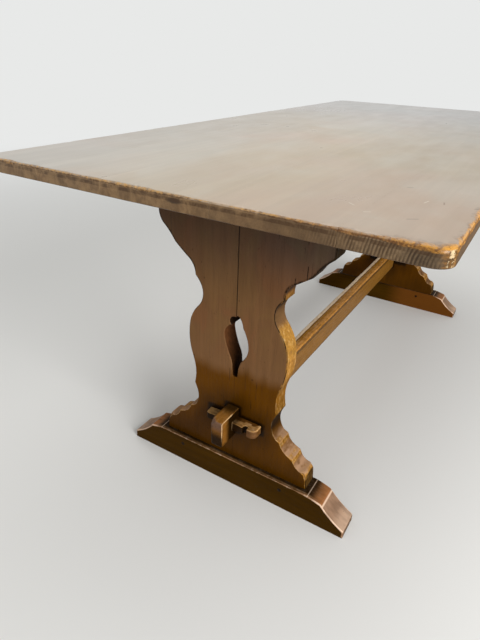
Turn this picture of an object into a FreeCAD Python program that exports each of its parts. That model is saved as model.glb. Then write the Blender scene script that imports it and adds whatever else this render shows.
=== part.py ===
import FreeCAD, Part
import math
import os
import Sketcher

# A refectory table in oak, in millimetres.
#
# The frame stands on the floor under the middle of the top: X runs along the table, with the near
# end at minus X, Y runs across it and Z points up. Both trestles are the same. Each is drawn once,
# in a frame of its own whose X starts at the outer face of its boards and points to the middle of
# the table, and the far one is turned half round.

# Driving sizes

sizes = {
    "table_length": 1738.0,
    "table_width": 805.0,
    "table_height": 762.0,
    "top_thickness": 25.0,
    "top_corner_radius": 26.0,
    "top_arris_radius": 6.0,
    "top_lower_radius": 2.0,
    "end_overhang": 214.0,
    "foot_length": 600.0,
    "foot_thickness": 62.0,
    "foot_height": 76.0,
    "foot_tip_height": 20.0,
    "foot_ledge": 15.0,
    "foot_arris": 2.5,
    "trestle_width": 392.0,
    "board_thickness": 45.0,
    "stub_width": 90.0,
    "stub_thickness": 20.0,
    "stub_depth": 50.0,
    "peg_diameter": 10.0,
    "peg_spacing": 277.0,
    "peg_height": 54.0,
    "stretcher_width": 40.0,
    "stretcher_height": 76.0,
    "stretcher_centre_height": 193.0,
    "stretcher_arris": 5.0,
    "tenon_width": 31.0,
    "tenon_offset": 1.75,
    "tenon_height": 68.0,
    "tenon_reach": 69.0,
    "tenon_arris": 2.5,
    "tenon_end_arris": 3.5,
    "mortise_clearance": 0.2,
    "mortise_relief": 2.0,
    "wedge_thickness": 25.5,
    "wedge_height": 22.0,
    "wedge_headroom": 0.6,
    "wedge_seat_height": 181.0,
    "wedge_thin_reach": 62.0,
    "wedge_thick_reach": 74.0,
    "wedge_thin_radius": 9.0,
    "wedge_thick_radius": 13.0,
    "wedge_tip_fall": 5.0,
    "wedge_arris": 1.2,
    "groove_reach": 46.0,
    "groove_width": 10.0,
    "groove_depth": 10.0,
    "bearer_side_gap": 42.5,
    "bearer_height": 44.0,
    "bearer_thickness": 34.0,
    "bearer_end_height": 20.0,
    "bearer_bevel": 60.0,
    "bearer_grip": 22.0,
    "screw_diameter": 4.5,
    "screw_head_diameter": 9.0,
    "screw_head_height": 3.0,
    "screw_clearance": 0.2,
    "top_screw_bite": 14.0,
    "board_screw_bite": 24.0,
    "counterbore_clearance": 1.5,
    "cut_overrun": 5.0,
}

# How much thicker the wedge gets along its length, as a share of that length
wedge_taper_share = 0.055

# The widths of the five boards of the top, from the left side of the near end to the right
top_board_width_shares = (0.180, 0.180, 0.250, 0.226, 0.164)

# The outer edge of a trestle board from the top down to the foot: shares of half the trestle's
# width and of the height between the foot and the top. A bend is a point that the round stretch
# between two corners passes. The left and right boards were sawn apart, so their upper hollows
# differ a little.
left_upper_scallop_shares = (
    ("corner", 1.0000, 1.0000),
    ("corner", 1.0000, 0.8680),
    ("bend", 0.9860, 0.8460),
    ("corner", 0.9490, 0.8270),
    ("bend", 0.8640, 0.8040),
    ("corner", 0.7960, 0.7750),
    ("corner", 0.6430, 0.7380),
    ("bend", 0.5620, 0.7150),
    ("corner", 0.5350, 0.6810),
    ("corner", 0.5070, 0.6730),
    ("bend", 0.4352, 0.6245),
    ("corner", 0.4975, 0.5750),
)
right_upper_scallop_shares = (
    ("corner", 1.0000, 1.0000),
    ("corner", 1.0000, 0.8450),
    ("bend", 0.9940, 0.8370),
    ("corner", 0.9760, 0.8320),
    ("bend", 0.8815, 0.8035),
    ("corner", 0.8030, 0.7695),
    ("corner", 0.6460, 0.7383),
    ("bend", 0.5560, 0.7125),
    ("corner", 0.5430, 0.6790),
    ("corner", 0.5070, 0.6690),
    ("bend", 0.4440, 0.6200),
    ("corner", 0.4975, 0.5785),
)
lower_scallop_shares = (
    ("bend", 0.5781, 0.5398),
    ("corner", 0.6194, 0.4992),
    ("bend", 0.6230, 0.4333),
    ("corner", 0.5735, 0.3690),
    ("bend", 0.5398, 0.3163),
    ("corner", 0.5617, 0.2632),
    ("corner", 0.5332, 0.2451),
    ("bend", 0.5077, 0.2012),
    ("corner", 0.5663, 0.1604),
    ("corner", 0.6291, 0.1533),
    ("corner", 0.6393, 0.1407),
    ("bend", 0.6760, 0.1233),
    ("corner", 0.7449, 0.1104),
    ("corner", 0.8036, 0.1044),
    ("bend", 0.8296, 0.0840),
    ("corner", 0.8929, 0.0670),
    ("corner", 0.9541, 0.0658),
    ("bend", 0.9760, 0.0590),
    ("corner", 0.9827, 0.0477),
    ("corner", 1.0000, 0.0000),
)

# The pierced opening, from its top down, half in each board and a little uneven as it was sawn by
# hand: shares of half the trestle's width and of the height between the foot and the top
left_piercing_shares = (
    ("corner", 0.0000, 0.5760),
    ("corner", 0.0560, 0.5740),
    ("bend", 0.0810, 0.5600),
    ("corner", 0.0560, 0.5430),
    ("bend", 0.1240, 0.5290),
    ("corner", 0.1480, 0.5020),
    ("bend", 0.1180, 0.4650),
    ("corner", 0.0500, 0.4160),
    ("corner", 0.0380, 0.4000),
    ("corner", 0.0270, 0.3530),
    ("corner", 0.0000, 0.3520),
)
right_piercing_shares = (
    ("corner", 0.0000, 0.5810),
    ("corner", 0.0330, 0.5790),
    ("bend", 0.0620, 0.5660),
    ("corner", 0.0800, 0.5430),
    ("bend", 0.1330, 0.5130),
    ("corner", 0.1570, 0.4750),
    ("bend", 0.1400, 0.4480),
    ("corner", 0.0950, 0.4250),
    ("corner", 0.0620, 0.4130),
    ("corner", 0.0370, 0.3860),
    ("corner", 0.0310, 0.3530),
    ("corner", 0.0000, 0.3520),
)

# The hollowed end of a foot, outwards from the flat that the boards stand on: shares of half its
# length and of the height between its blunt tip and its flat top
foot_end_shares = (
    ("corner", 0.6870, 1.0000),
    ("corner", 0.8000, 0.8570),
    ("bend", 0.8870, 0.3840),
    ("corner", 1.0000, 0.0000),
)

# Where the screws through a bearer into the trestle boards stand, as shares of half its width
board_screw_shares = (-0.66, -0.30, 0.36, 0.66)

# The document and its sheet of sizes

document = FreeCAD.newDocument("refectory_table")
sheet = document.addObject("Spreadsheet::Sheet", "dims")
for row, (name, size) in enumerate(sizes.items(), 1):
    sheet.set(f"A{row}", name)
    sheet.set(f"B{row}", str(size))
    sheet.setAlias(f"B{row}", name)
document.recompute()


class Length:
    """A sum of driving sizes, each times its share, kept as a number and as an expression."""

    def __init__(self, shares):
        self.shares = shares

    def __add__(self, other):
        names = {**self.shares, **other.shares}
        return Length({name: self.shares.get(name, 0) + other.shares.get(name, 0) for name in names})

    def __mul__(self, share):
        return Length({name: own * share for name, own in self.shares.items()})

    def __neg__(self):
        return self * -1

    def __sub__(self, other):
        return self + -other

    def __truediv__(self, count):
        return self * (1 / count)

    @property
    def value(self):
        return sum(sizes[name] * share for name, share in self.shares.items())

    @property
    def expression(self):
        terms = [f"dims.{name} * ({share:.10f})" for name, share in self.shares.items() if share]
        return " + ".join(terms) or "0"


def size_of(name):
    return Length({name: 1})


NOTHING = Length({})

# The ends of the table, as names and as sides of X
trestle_ends = (("near", -1), ("far", 1))

# Lengths that follow from the driving sizes

half_length = size_of("table_length") / 2
half_trestle = size_of("trestle_width") / 2
half_foot = size_of("foot_length") / 2
foot_top = size_of("foot_height")
underside = size_of("table_height") - size_of("top_thickness")
post_height = underside - foot_top
board_face = half_length - size_of("end_overhang") - size_of("foot_ledge")
inner_face = size_of("board_thickness")
bearer_middle = inner_face + size_of("bearer_thickness") / 2
bearer_bottom = underside - size_of("bearer_height")
wedge_middle_height = size_of("wedge_seat_height") + size_of("wedge_height") / 2


def top_board_edges():
    """The seams of the top across the table, from the left side to the right."""
    edges = [size_of("table_width") / 2]
    for share in top_board_width_shares:
        edges.append(edges[-1] - size_of("table_width") * share)
    return edges


top_seams = top_board_edges()
top_board_middles = [(left + right) / 2 for left, right in zip(top_seams, top_seams[1:])]


def wedge_thickness_at(across):
    """How far the wedge's outer face stands from the boards, at a place across the trestle."""
    return size_of("wedge_thickness") - across * wedge_taper_share


# Steps that every piece uses

def vector(across, up):
    return FreeCAD.Vector(across.value, up.value, 0)


def bind(feature, path, length):
    feature.setExpression(path, length.expression)


def new_body(name):
    body = document.addObject("PartDesign::Body", name)
    body.Label = name
    return body


def raise_by(body, height):
    body.Placement = FreeCAD.Placement(FreeCAD.Vector(0, 0, height.value), FreeCAD.Rotation())
    bind(body, "Placement.Base.z", height)


def stand_in_trestle(body, end, height=NOTHING):
    """Put a body of the trestle's own frame at the near end (minus one) or the far end (one)."""
    turn = FreeCAD.Rotation(FreeCAD.Vector(0, 0, 1), 180 if end > 0 else 0)
    body.Placement = FreeCAD.Placement(FreeCAD.Vector(end * board_face.value, 0, height.value), turn)
    bind(body, "Placement.Base.x", board_face * end)
    bind(body, "Placement.Base.z", height)


def new_sketch(body, name, plane, lift=NOTHING):
    """An empty sketch on one of the body's own planes, lifted along the plane's normal."""
    sketch = body.newObject("Sketcher::SketchObject", name)
    origin_plane = next(item for item in body.Origin.OriginFeatures if item.Role == plane)
    sketch.AttachmentSupport = [(origin_plane, "")]
    sketch.MapMode = "FlatFace"
    sketch.AttachmentOffset = FreeCAD.Placement(FreeCAD.Vector(0, 0, lift.value), FreeCAD.Rotation())
    bind(sketch, "AttachmentOffset.Base.z", lift)
    return sketch


def hold(sketch, kind, edge, vertex, length):
    """Hold one coordinate of a point at its expression, or on the axis where it is zero."""
    if not any(length.shares.values()):
        axis = -2 if kind == "DistanceX" else -1
        sketch.addConstraint(Sketcher.Constraint("PointOnObject", edge, vertex, axis))
    elif length.value > 0:
        held = sketch.addConstraint(Sketcher.Constraint(kind, -1, 1, edge, vertex, length.value))
        bind(sketch, f"Constraints[{held}]", length)
    else:
        held = sketch.addConstraint(Sketcher.Constraint(kind, edge, vertex, -1, 1, -length.value))
        bind(sketch, f"Constraints[{held}]", -length)


def hold_point(sketch, edge, vertex, across, up):
    hold(sketch, "DistanceX", edge, vertex, across)
    hold(sketch, "DistanceY", edge, vertex, up)


def draw_outline(sketch, points):
    """Draw a closed outline through corners, with an arc where a bend lies between two of them."""
    corners = [index for index, point in enumerate(points) if point[0] == "corner"]
    edges = []
    for index, following in zip(corners, corners[1:] + corners[:1]):
        first = vector(*points[index][1:])
        last = vector(*points[following][1:])
        bend = points[index + 1] if index + 1 < len(points) else points[0]
        if bend[0] == "bend":
            curve = Part.Arc(first, vector(*bend[1:]), last)
        else:
            curve = Part.LineSegment(first, last)
        edge = sketch.addGeometry(curve, False)
        to_start = (sketch.getPoint(edge, 1) - first).Length
        to_end = (sketch.getPoint(edge, 2) - first).Length
        start, end = (1, 2) if to_start < to_end else (2, 1)
        edges.append((edge, start, end))
        hold_point(sketch, edge, start, *points[index][1:])
        if bend[0] == "bend":
            guide = sketch.addGeometry(Part.Point(vector(*bend[1:])), True)
            hold_point(sketch, guide, 1, *bend[1:])
            sketch.addConstraint(Sketcher.Constraint("PointOnObject", guide, 1, edge))
    for (edge, _, end), (following, start, _) in zip(edges, edges[1:] + edges[:1]):
        sketch.addConstraint(Sketcher.Constraint("Coincident", edge, end, following, start))


def draw_rectangle(sketch, left, right, bottom, top):
    corners = ((left, bottom), (right, bottom), (right, top), (left, top))
    draw_outline(sketch, [("corner", across, up) for across, up in corners])


def draw_circle(sketch, across, up, diameter):
    normal = FreeCAD.Vector(0, 0, 1)
    edge = sketch.addGeometry(Part.Circle(vector(across, up), normal, diameter.value / 2), False)
    hold_point(sketch, edge, 3, across, up)
    held = sketch.addConstraint(Sketcher.Constraint("Diameter", edge, diameter.value))
    bind(sketch, f"Constraints[{held}]", diameter)


def extrude(body, kind, name, sketch, length, symmetric=False, backwards=False):
    """A pad or a pocket of the sketch, along its normal, both ways or against it."""
    feature = body.newObject(f"PartDesign::{kind}", name)
    feature.Profile = sketch
    feature.SideType = "Symmetric" if symmetric else "One side"
    feature.Reversed = backwards
    bind(feature, "Length", length)
    sketch.Visibility = False
    return feature


def edges_where(shape, test):
    return [f"Edge{index}" for index, edge in enumerate(shape.Edges, 1) if test(edge)]


def soften(body, kind, name, path, radius, test):
    """Fillet or chamfer the edges of the body's last feature that pass the test."""
    document.recompute()
    base = body.Tip
    feature = body.newObject(f"PartDesign::{kind}", name)
    feature.Base = (base, edges_where(base.Shape, test))
    bind(feature, path, radius)
    return feature


def is_near(first, second):
    return math.isclose(first, second, abs_tol=Part.Precision.confusion() * 100)


def middle_of(edge):
    return edge.valueAt((edge.FirstParameter + edge.LastParameter) / 2)


def lies_at(edge, axis, place):
    """Whether both ends and the middle of an edge share one coordinate."""
    points = [vertex.Point for vertex in edge.Vertexes] + [middle_of(edge)]
    return all(is_near(getattr(point, axis), place) for point in points)


def runs_along(edge, axis):
    low = edge.Vertexes[0].Point
    high = edge.Vertexes[-1].Point
    return all(is_near(getattr(low, other), getattr(high, other)) for other in "xyz" if other != axis)


# The top

def make_top_board(number):
    """One board of the top, with rounded corners on the outer boards and the arrises worn round."""
    name = f"top_board_{number}"
    left = top_seams[number - 1]
    right = top_seams[number]
    middle = top_board_middles[number - 1]
    body = new_body(name)
    raise_by(body, underside)

    plan = new_sketch(body, f"{name}_plan", "XY_Plane")
    draw_rectangle(plan, -half_length, half_length, right, left)
    extrude(body, "Pad", f"{name}_board", plan, size_of("top_thickness"))

    pilots = new_sketch(body, f"{name}_pilot_plan", "XY_Plane")
    pilot_diameter = size_of("screw_diameter") + size_of("screw_clearance") * 2
    for end in (-1, 1):
        draw_circle(pilots, (board_face - bearer_middle) * end, middle, pilot_diameter)
    depth = size_of("top_screw_bite") + size_of("screw_clearance")
    extrude(body, "Pocket", f"{name}_pilots", pilots, depth, backwards=True)

    sides = [seam.value for seam in (top_seams[0], top_seams[-1])]
    seams = [seam.value for seam in (left, right) if seam.value not in sides]

    def is_outer_corner(edge):
        return runs_along(edge, "z") and any(lies_at(edge, "y", side) for side in sides)

    def is_outer_arris(edge, height):
        in_seam = any(lies_at(edge, "y", seam) for seam in seams)
        is_hole = edge.isClosed()
        return lies_at(edge, "z", height) and not in_seam and not is_hole

    if number in (1, len(top_board_width_shares)):
        soften(body, "Fillet", f"{name}_corners", "Radius", size_of("top_corner_radius"), is_outer_corner)
    top_level = size_of("top_thickness").value
    soften(body, "Fillet", f"{name}_upper_arris", "Radius", size_of("top_arris_radius"),
           lambda edge: is_outer_arris(edge, top_level))
    soften(body, "Fillet", f"{name}_lower_arris", "Radius", size_of("top_lower_radius"),
           lambda edge: is_outer_arris(edge, 0))
    return body


# The trestles

def scallop_points(shares, side):
    """The points of a table of shares, on one side of the trestle's middle."""
    return [(kind, half_trestle * across * side, foot_top + post_height * up) for kind, across, up in shares]


def make_trestle_board(end_name, end, side_name, side, upper_shares, piercing_shares):
    """One of the two boards of a trestle: the scalloped outer edge, the stub tenon that goes into the
    foot, and its halves of the pierced opening and of the mortise that the stretcher passes."""
    name = f"{end_name}_trestle_{side_name}_board"
    body = new_body(name)
    stand_in_trestle(body, end)

    outline = new_sketch(body, f"{name}_outline", "YZ_Plane")
    seam = [("corner", NOTHING, foot_top), ("corner", NOTHING, underside)]
    draw_outline(outline, seam + scallop_points(upper_shares + lower_scallop_shares, side))
    extrude(body, "Pad", f"{name}_board", outline, size_of("board_thickness"))

    piercing = new_sketch(body, f"{name}_piercing_outline", "YZ_Plane")
    draw_outline(piercing, scallop_points(piercing_shares, side))
    extrude(body, "Pocket", f"{name}_piercing", piercing, size_of("board_thickness"), backwards=True)

    mortise = new_sketch(body, f"{name}_mortise_outline", "YZ_Plane")
    reach = size_of("tenon_width") / 2 + size_of("tenon_offset") * side + size_of("mortise_clearance")
    rise = size_of("tenon_height") / 2 + size_of("mortise_clearance")
    centre = size_of("stretcher_centre_height")
    draw_rectangle(mortise, NOTHING, reach * side, centre - rise, centre + rise)
    extrude(body, "Pocket", f"{name}_mortise", mortise, size_of("board_thickness"), backwards=True)

    stub = new_sketch(body, f"{name}_stub_plan", "XY_Plane", foot_top)
    stub_middle = size_of("peg_spacing") / 2 * side
    stub_left = (inner_face - size_of("stub_thickness")) / 2
    stub_right = (inner_face + size_of("stub_thickness")) / 2
    draw_rectangle(stub, stub_left, stub_right,
                   stub_middle - size_of("stub_width") / 2, stub_middle + size_of("stub_width") / 2)
    extrude(body, "Pad", f"{name}_stub", stub, size_of("stub_depth"), backwards=True)

    peg_hole = new_sketch(body, f"{name}_peg_hole_outline", "YZ_Plane")
    draw_circle(peg_hole, stub_middle, size_of("peg_height"), size_of("peg_diameter"))
    extrude(body, "Pocket", f"{name}_peg_hole", peg_hole, size_of("board_thickness"), backwards=True)

    pilots = new_sketch(body, f"{name}_pilot_outline", "YZ_Plane", inner_face)
    pilot_diameter = size_of("screw_diameter") + size_of("screw_clearance") * 2
    for share in board_screw_shares:
        if share * side > 0:
            draw_circle(pilots, half_trestle * share, bearer_bottom + size_of("bearer_height") / 2,
                        pilot_diameter)
    depth = size_of("board_screw_bite") + size_of("screw_clearance")
    extrude(body, "Pocket", f"{name}_pilots", pilots, depth)
    return body


def make_foot(end_name, end):
    """A sledge foot: flat under the boards, then falling in a hollow to a blunt tip."""
    name = f"{end_name}_foot"
    body = new_body(name)
    stand_in_trestle(body, end)
    tip = size_of("foot_tip_height")
    rise = foot_top - tip

    profile = new_sketch(body, f"{name}_profile", "YZ_Plane", -size_of("foot_ledge"))
    left = [(kind, half_foot * across, tip + rise * up) for kind, across, up in foot_end_shares]
    right = [(kind, -across, up) for kind, across, up in reversed(left)]
    base = [("corner", -half_foot, NOTHING), ("corner", half_foot, NOTHING)]
    draw_outline(profile, base + left[::-1] + right[::-1])
    extrude(body, "Pad", f"{name}_block", profile, size_of("foot_thickness"))

    faces = [-size_of("foot_ledge").value, (size_of("foot_thickness") - size_of("foot_ledge")).value]

    def is_worn_arris(edge):
        on_face = any(lies_at(edge, "x", face) for face in faces)
        over_tip = runs_along(edge, "x") and lies_at(edge, "z", tip.value)
        return over_tip or on_face and not lies_at(edge, "z", 0)

    soften(body, "Chamfer", f"{name}_arris", "Size", size_of("foot_arris"), is_worn_arris)

    mortises = new_sketch(body, f"{name}_mortise_plan", "XY_Plane", foot_top)
    play = size_of("mortise_clearance")
    stub_left = (inner_face - size_of("stub_thickness")) / 2
    stub_right = (inner_face + size_of("stub_thickness")) / 2
    for side in (-1, 1):
        middle = size_of("peg_spacing") / 2 * side
        half_stub = size_of("stub_width") / 2
        draw_rectangle(mortises, stub_left - play, stub_right + play,
                       middle - half_stub - play, middle + half_stub + play)
    extrude(body, "Pocket", f"{name}_mortises", mortises, size_of("stub_depth") + play)

    peg_holes = new_sketch(body, f"{name}_peg_hole_outline", "YZ_Plane", -size_of("foot_ledge"))
    for side in (-1, 1):
        draw_circle(peg_holes, size_of("peg_spacing") / 2 * side, size_of("peg_height"),
                    size_of("peg_diameter"))
    extrude(body, "Pocket", f"{name}_peg_holes", peg_holes, size_of("foot_thickness"), backwards=True)
    return body


def make_bearer(end_name, end):
    """The batten inside a trestle that carries the top, bevelled at its ends."""
    name = f"{end_name}_bearer"
    body = new_body(name)
    stand_in_trestle(body, end)
    half_bearer = size_of("table_width") / 2 - size_of("bearer_side_gap")
    bevel_start = half_bearer - size_of("bearer_bevel")
    bevel_height = underside - size_of("bearer_end_height")

    profile = new_sketch(body, f"{name}_profile", "YZ_Plane", inner_face)
    corners = ((-half_bearer, underside), (half_bearer, underside), (half_bearer, bevel_height),
               (bevel_start, bearer_bottom), (-bevel_start, bearer_bottom), (-half_bearer, bevel_height))
    draw_outline(profile, [("corner", across, up) for across, up in corners])
    extrude(body, "Pad", f"{name}_batten", profile, size_of("bearer_thickness"))

    hole_diameter = size_of("screw_diameter") + size_of("screw_clearance") * 2
    recess_diameter = size_of("screw_head_diameter") + size_of("counterbore_clearance") * 2
    recess_depth = size_of("bearer_height") - size_of("bearer_grip")
    holes = (("top_screw_holes", hole_diameter, size_of("bearer_height")),
             ("top_screw_recesses", recess_diameter, recess_depth))
    for hole_name, diameter, depth in holes:
        plan = new_sketch(body, f"{name}_{hole_name}_plan", "XY_Plane", bearer_bottom)
        for middle in top_board_middles:
            draw_circle(plan, bearer_middle, middle * -end, diameter)
        extrude(body, "Pocket", f"{name}_{hole_name}", plan, depth, backwards=True)

    side_holes = new_sketch(body, f"{name}_board_screw_hole_outline", "YZ_Plane", inner_face)
    for share in board_screw_shares:
        draw_circle(side_holes, half_trestle * share, bearer_bottom + size_of("bearer_height") / 2,
                    hole_diameter)
    extrude(body, "Pocket", f"{name}_board_screw_holes", side_holes, size_of("bearer_thickness"),
            backwards=True)
    return body


def place_in_trestle(piece, end, inward, across, up, turn):
    """Put a piece at a place in the trestle's own frame, after its own turn."""
    piece.Placement = FreeCAD.Placement(
        FreeCAD.Vector(end * (board_face - inward).value, -end * across.value, up.value), turn)
    bind(piece, "Placement.Base.x", (board_face - inward) * end)
    bind(piece, "Placement.Base.y", across * -end)
    bind(piece, "Placement.Base.z", up)


def make_cylinder(name, diameter, height):
    cylinder = document.addObject("Part::Cylinder", name)
    cylinder.Radius = diameter.value / 2
    cylinder.Height = height.value
    bind(cylinder, "Radius", diameter / 2)
    bind(cylinder, "Height", height)
    return cylinder


def make_group(name, pieces):
    """Several like pieces under one name."""
    group = document.addObject("Part::Compound", name)
    group.Label = name
    group.Links = pieces
    return group


def make_pegs(end_name, end):
    """The two pegs that go through a foot and the stub tenons in it."""
    name = f"{end_name}_foot_pegs"
    inwards = FreeCAD.Rotation(FreeCAD.Vector(0, 0, 1), FreeCAD.Vector(-end, 0, 0))
    pegs = []
    for number, side in enumerate((-1, 1), 1):
        peg = make_cylinder(f"{name}_{number}", size_of("peg_diameter"), size_of("foot_thickness"))
        across = size_of("peg_spacing") / 2 * side
        place_in_trestle(peg, end, -size_of("foot_ledge"), across, size_of("peg_height"), inwards)
        pegs.append(peg)
    return make_group(name, pegs)


def make_screw(name, shank_length, end, inward, across, up, turn):
    """A flat-headed screw whose head rests at the given place and whose shank points along the turn."""
    shank = make_cylinder(f"{name}_shank", size_of("screw_diameter"), shank_length)
    head = make_cylinder(f"{name}_head", size_of("screw_head_diameter"), size_of("screw_head_height"))
    head.Placement.Base.z = -size_of("screw_head_height").value
    bind(head, "Placement.Base.z", -size_of("screw_head_height"))
    screw = document.addObject("Part::Fuse", name)
    screw.Base = shank
    screw.Tool = head
    place_in_trestle(screw, end, inward, across, up, turn)
    return screw


def make_top_screws(end_name, end):
    """The screws that go up through a bearer, one into each board of the top."""
    name = f"{end_name}_top_screws"
    shank_length = size_of("bearer_grip") + size_of("top_screw_bite")
    head_height = underside - size_of("bearer_grip")
    upright = FreeCAD.Rotation()
    screws = [make_screw(f"{name}_{number}", shank_length, end, bearer_middle, middle * -end,
                         head_height, upright)
              for number, middle in enumerate(top_board_middles, 1)]
    return make_group(name, screws)


def make_bearer_screws(end_name, end):
    """The screws that go outwards through a bearer into the trestle's boards."""
    name = f"{end_name}_bearer_screws"
    shank_length = size_of("bearer_thickness") + size_of("board_screw_bite")
    head_place = inner_face + size_of("bearer_thickness")
    height = bearer_bottom + size_of("bearer_height") / 2
    outwards = FreeCAD.Rotation(FreeCAD.Vector(0, 0, 1), FreeCAD.Vector(end, 0, 0))
    screws = [make_screw(f"{name}_{number}", shank_length, end, head_place, half_trestle * share,
                         height, outwards)
              for number, share in enumerate(board_screw_shares, 1)]
    return make_group(name, screws)


# The stretcher and its wedges

def make_stretcher():
    """The rail between the trestles: shoulders against their inner faces, a tenon right through each
    of them, a little off the rail's middle, and in each tenon the tapered mortise that its wedge
    draws up in."""
    name = "stretcher"
    body = new_body(name)
    raise_by(body, size_of("stretcher_centre_height"))
    half_width = size_of("stretcher_width") / 2
    half_height = size_of("stretcher_height") / 2
    half_tenon_width = size_of("tenon_width") / 2
    half_tenon_height = size_of("tenon_height") / 2

    rail = new_sketch(body, f"{name}_rail_section", "YZ_Plane")
    draw_rectangle(rail, -half_width, half_width, -half_height, half_height)
    rail_length = (board_face - inner_face) * 2
    extrude(body, "Pad", f"{name}_rail", rail, rail_length, symmetric=True)
    soften(body, "Chamfer", f"{name}_arris", "Size", size_of("stretcher_arris"),
           lambda edge: runs_along(edge, "x"))

    tenon_end = board_face + size_of("tenon_reach")
    for end_name, end in trestle_ends:
        tenon = new_sketch(body, f"{name}_{end_name}_tenon_section", "YZ_Plane")
        middle = size_of("tenon_offset") * -end
        draw_rectangle(tenon, middle - half_tenon_width, middle + half_tenon_width,
                       -half_tenon_height, half_tenon_height)
        extrude(body, "Pad", f"{name}_{end_name}_tenon", tenon, tenon_end, backwards=end < 0)

    def is_tenon_arris(edge):
        return runs_along(edge, "x") and abs(middle_of(edge).x) > rail_length.value / 2

    soften(body, "Chamfer", f"{name}_tenon_arris", "Size", size_of("tenon_arris"), is_tenon_arris)
    soften(body, "Chamfer", f"{name}_tenon_ends", "Size", size_of("tenon_end_arris"),
           lambda edge: any(lies_at(edge, "x", end * tenon_end.value) for end in (-1, 1)))

    middle = wedge_middle_height + size_of("wedge_headroom") / 2 - size_of("stretcher_centre_height")
    mortises = new_sketch(body, f"{name}_wedge_mortise_plan", "XY_Plane", middle)
    reach = half_tenon_width + size_of("cut_overrun")
    relieved_face = board_face - size_of("mortise_relief")
    for end in (-1, 1):
        corners = ((relieved_face, reach), (relieved_face, -reach),
                   (board_face + wedge_thickness_at(-reach), -reach),
                   (board_face + wedge_thickness_at(reach), reach))
        draw_outline(mortises, [("corner", along * end, across * -end) for along, across in corners])
    mortise_height = size_of("wedge_height") + size_of("wedge_headroom")
    extrude(body, "Pocket", f"{name}_wedge_mortises", mortises, mortise_height, symmetric=True)
    return body


def make_wedge(end_name, end):
    """A loose wedge: flat against the boards, tapered on its outer face, worn round at both ends, with
    one upright groove beside the tenon and a top that falls to the thin end."""
    name = f"{end_name}_wedge"
    body = new_body(name)
    stand_in_trestle(body, end, wedge_middle_height)
    thin_end = size_of("wedge_thin_reach")
    thick_end = -size_of("wedge_thick_reach")
    groove_middle = -size_of("groove_reach")
    half_groove = size_of("groove_width") / 2
    groove_floor = wedge_thickness_at(groove_middle) - size_of("groove_depth")
    groove_left = groove_middle + half_groove
    groove_right = groove_middle - half_groove

    plan = new_sketch(body, f"{name}_plan", "XY_Plane")
    points = (
        ("corner", NOTHING, thin_end),
        ("corner", NOTHING, thick_end),
        ("corner", -wedge_thickness_at(thick_end), thick_end),
        ("corner", -wedge_thickness_at(groove_right), groove_right),
        ("corner", -(groove_floor + half_groove), groove_right),
        ("bend", -groove_floor, groove_middle),
        ("corner", -(groove_floor + half_groove), groove_left),
        ("corner", -wedge_thickness_at(groove_left), groove_left),
        ("corner", -wedge_thickness_at(thin_end), thin_end),
    )
    draw_outline(plan, points)
    extrude(body, "Pad", f"{name}_block", plan, size_of("wedge_height"), symmetric=True)

    fall = new_sketch(body, f"{name}_fall_outline", "YZ_Plane")
    half_height = size_of("wedge_height") / 2
    past_end = thin_end + size_of("cut_overrun")
    above = half_height + size_of("cut_overrun")
    corners = ((NOTHING, half_height), (past_end, half_height - size_of("wedge_tip_fall")),
               (past_end, above), (NOTHING, above))
    draw_outline(fall, [("corner", across, up) for across, up in corners])
    extrude(body, "Pocket", f"{name}_fall", fall, size_of("wedge_thickness") + size_of("cut_overrun"))

    def is_outer_corner(edge, place):
        return runs_along(edge, "z") and lies_at(edge, "y", place.value) and not lies_at(edge, "x", 0)

    soften(body, "Fillet", f"{name}_thin_end", "Radius", size_of("wedge_thin_radius"),
           lambda edge: is_outer_corner(edge, thin_end))
    soften(body, "Fillet", f"{name}_thick_end", "Radius", size_of("wedge_thick_radius"),
           lambda edge: is_outer_corner(edge, thick_end))

    def is_worn_arris(edge):
        in_tenon_or_on_boards = lies_at(edge, "y", 0) or lies_at(edge, "x", 0)
        return not runs_along(edge, "z") and not in_tenon_or_on_boards

    soften(body, "Chamfer", f"{name}_arris", "Size", size_of("wedge_arris"), is_worn_arris)
    return body


# The whole table

pieces = [make_top_board(number + 1) for number in range(len(top_board_width_shares))]
for end_name, end in trestle_ends:
    pieces.append(make_trestle_board(end_name, end, "left", 1, left_upper_scallop_shares,
                                     left_piercing_shares))
    pieces.append(make_trestle_board(end_name, end, "right", -1, right_upper_scallop_shares,
                                     right_piercing_shares))
    pieces.append(make_foot(end_name, end))
    pieces.append(make_pegs(end_name, end))
    pieces.append(make_bearer(end_name, end))
    pieces.append(make_top_screws(end_name, end))
    pieces.append(make_bearer_screws(end_name, end))
    pieces.append(make_wedge(end_name, end))
pieces.append(make_stretcher())
document.recompute()

# Every step is sound, every cut takes something away and every piece is whole

for item in document.Objects:
    if "Invalid" in item.State or "Error" in item.State:
        raise RuntimeError(f"{item.Label} failed: {item.State}")
    if item.TypeId == "PartDesign::Pocket" and item.Shape.Volume >= item.BaseFeature.Shape.Volume:
        raise RuntimeError(f"{item.Label} cuts nothing")
for piece in pieces:
    if piece.Shape.isNull() or not piece.Shape.isValid():
        raise RuntimeError(f"{piece.Label} has no sound shape")
    solids = len(piece.Links) if piece.TypeId == "Part::Compound" else 1
    if len(piece.Shape.Solids) != solids:
        raise RuntimeError(f"{piece.Label} is in {len(piece.Shape.Solids)} pieces, not {solids}")

os.makedirs("parts", exist_ok=True)
for piece in pieces:
    piece.Shape.exportStep(f"parts/{piece.Label}.step")
    box = piece.Shape.BoundBox
    corners = [round(value, 1) for value in (box.XMin, box.YMin, box.ZMin, box.XMax, box.YMax, box.ZMax)]
    print(piece.Label, corners, "volume", round(piece.Shape.Volume))
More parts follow.
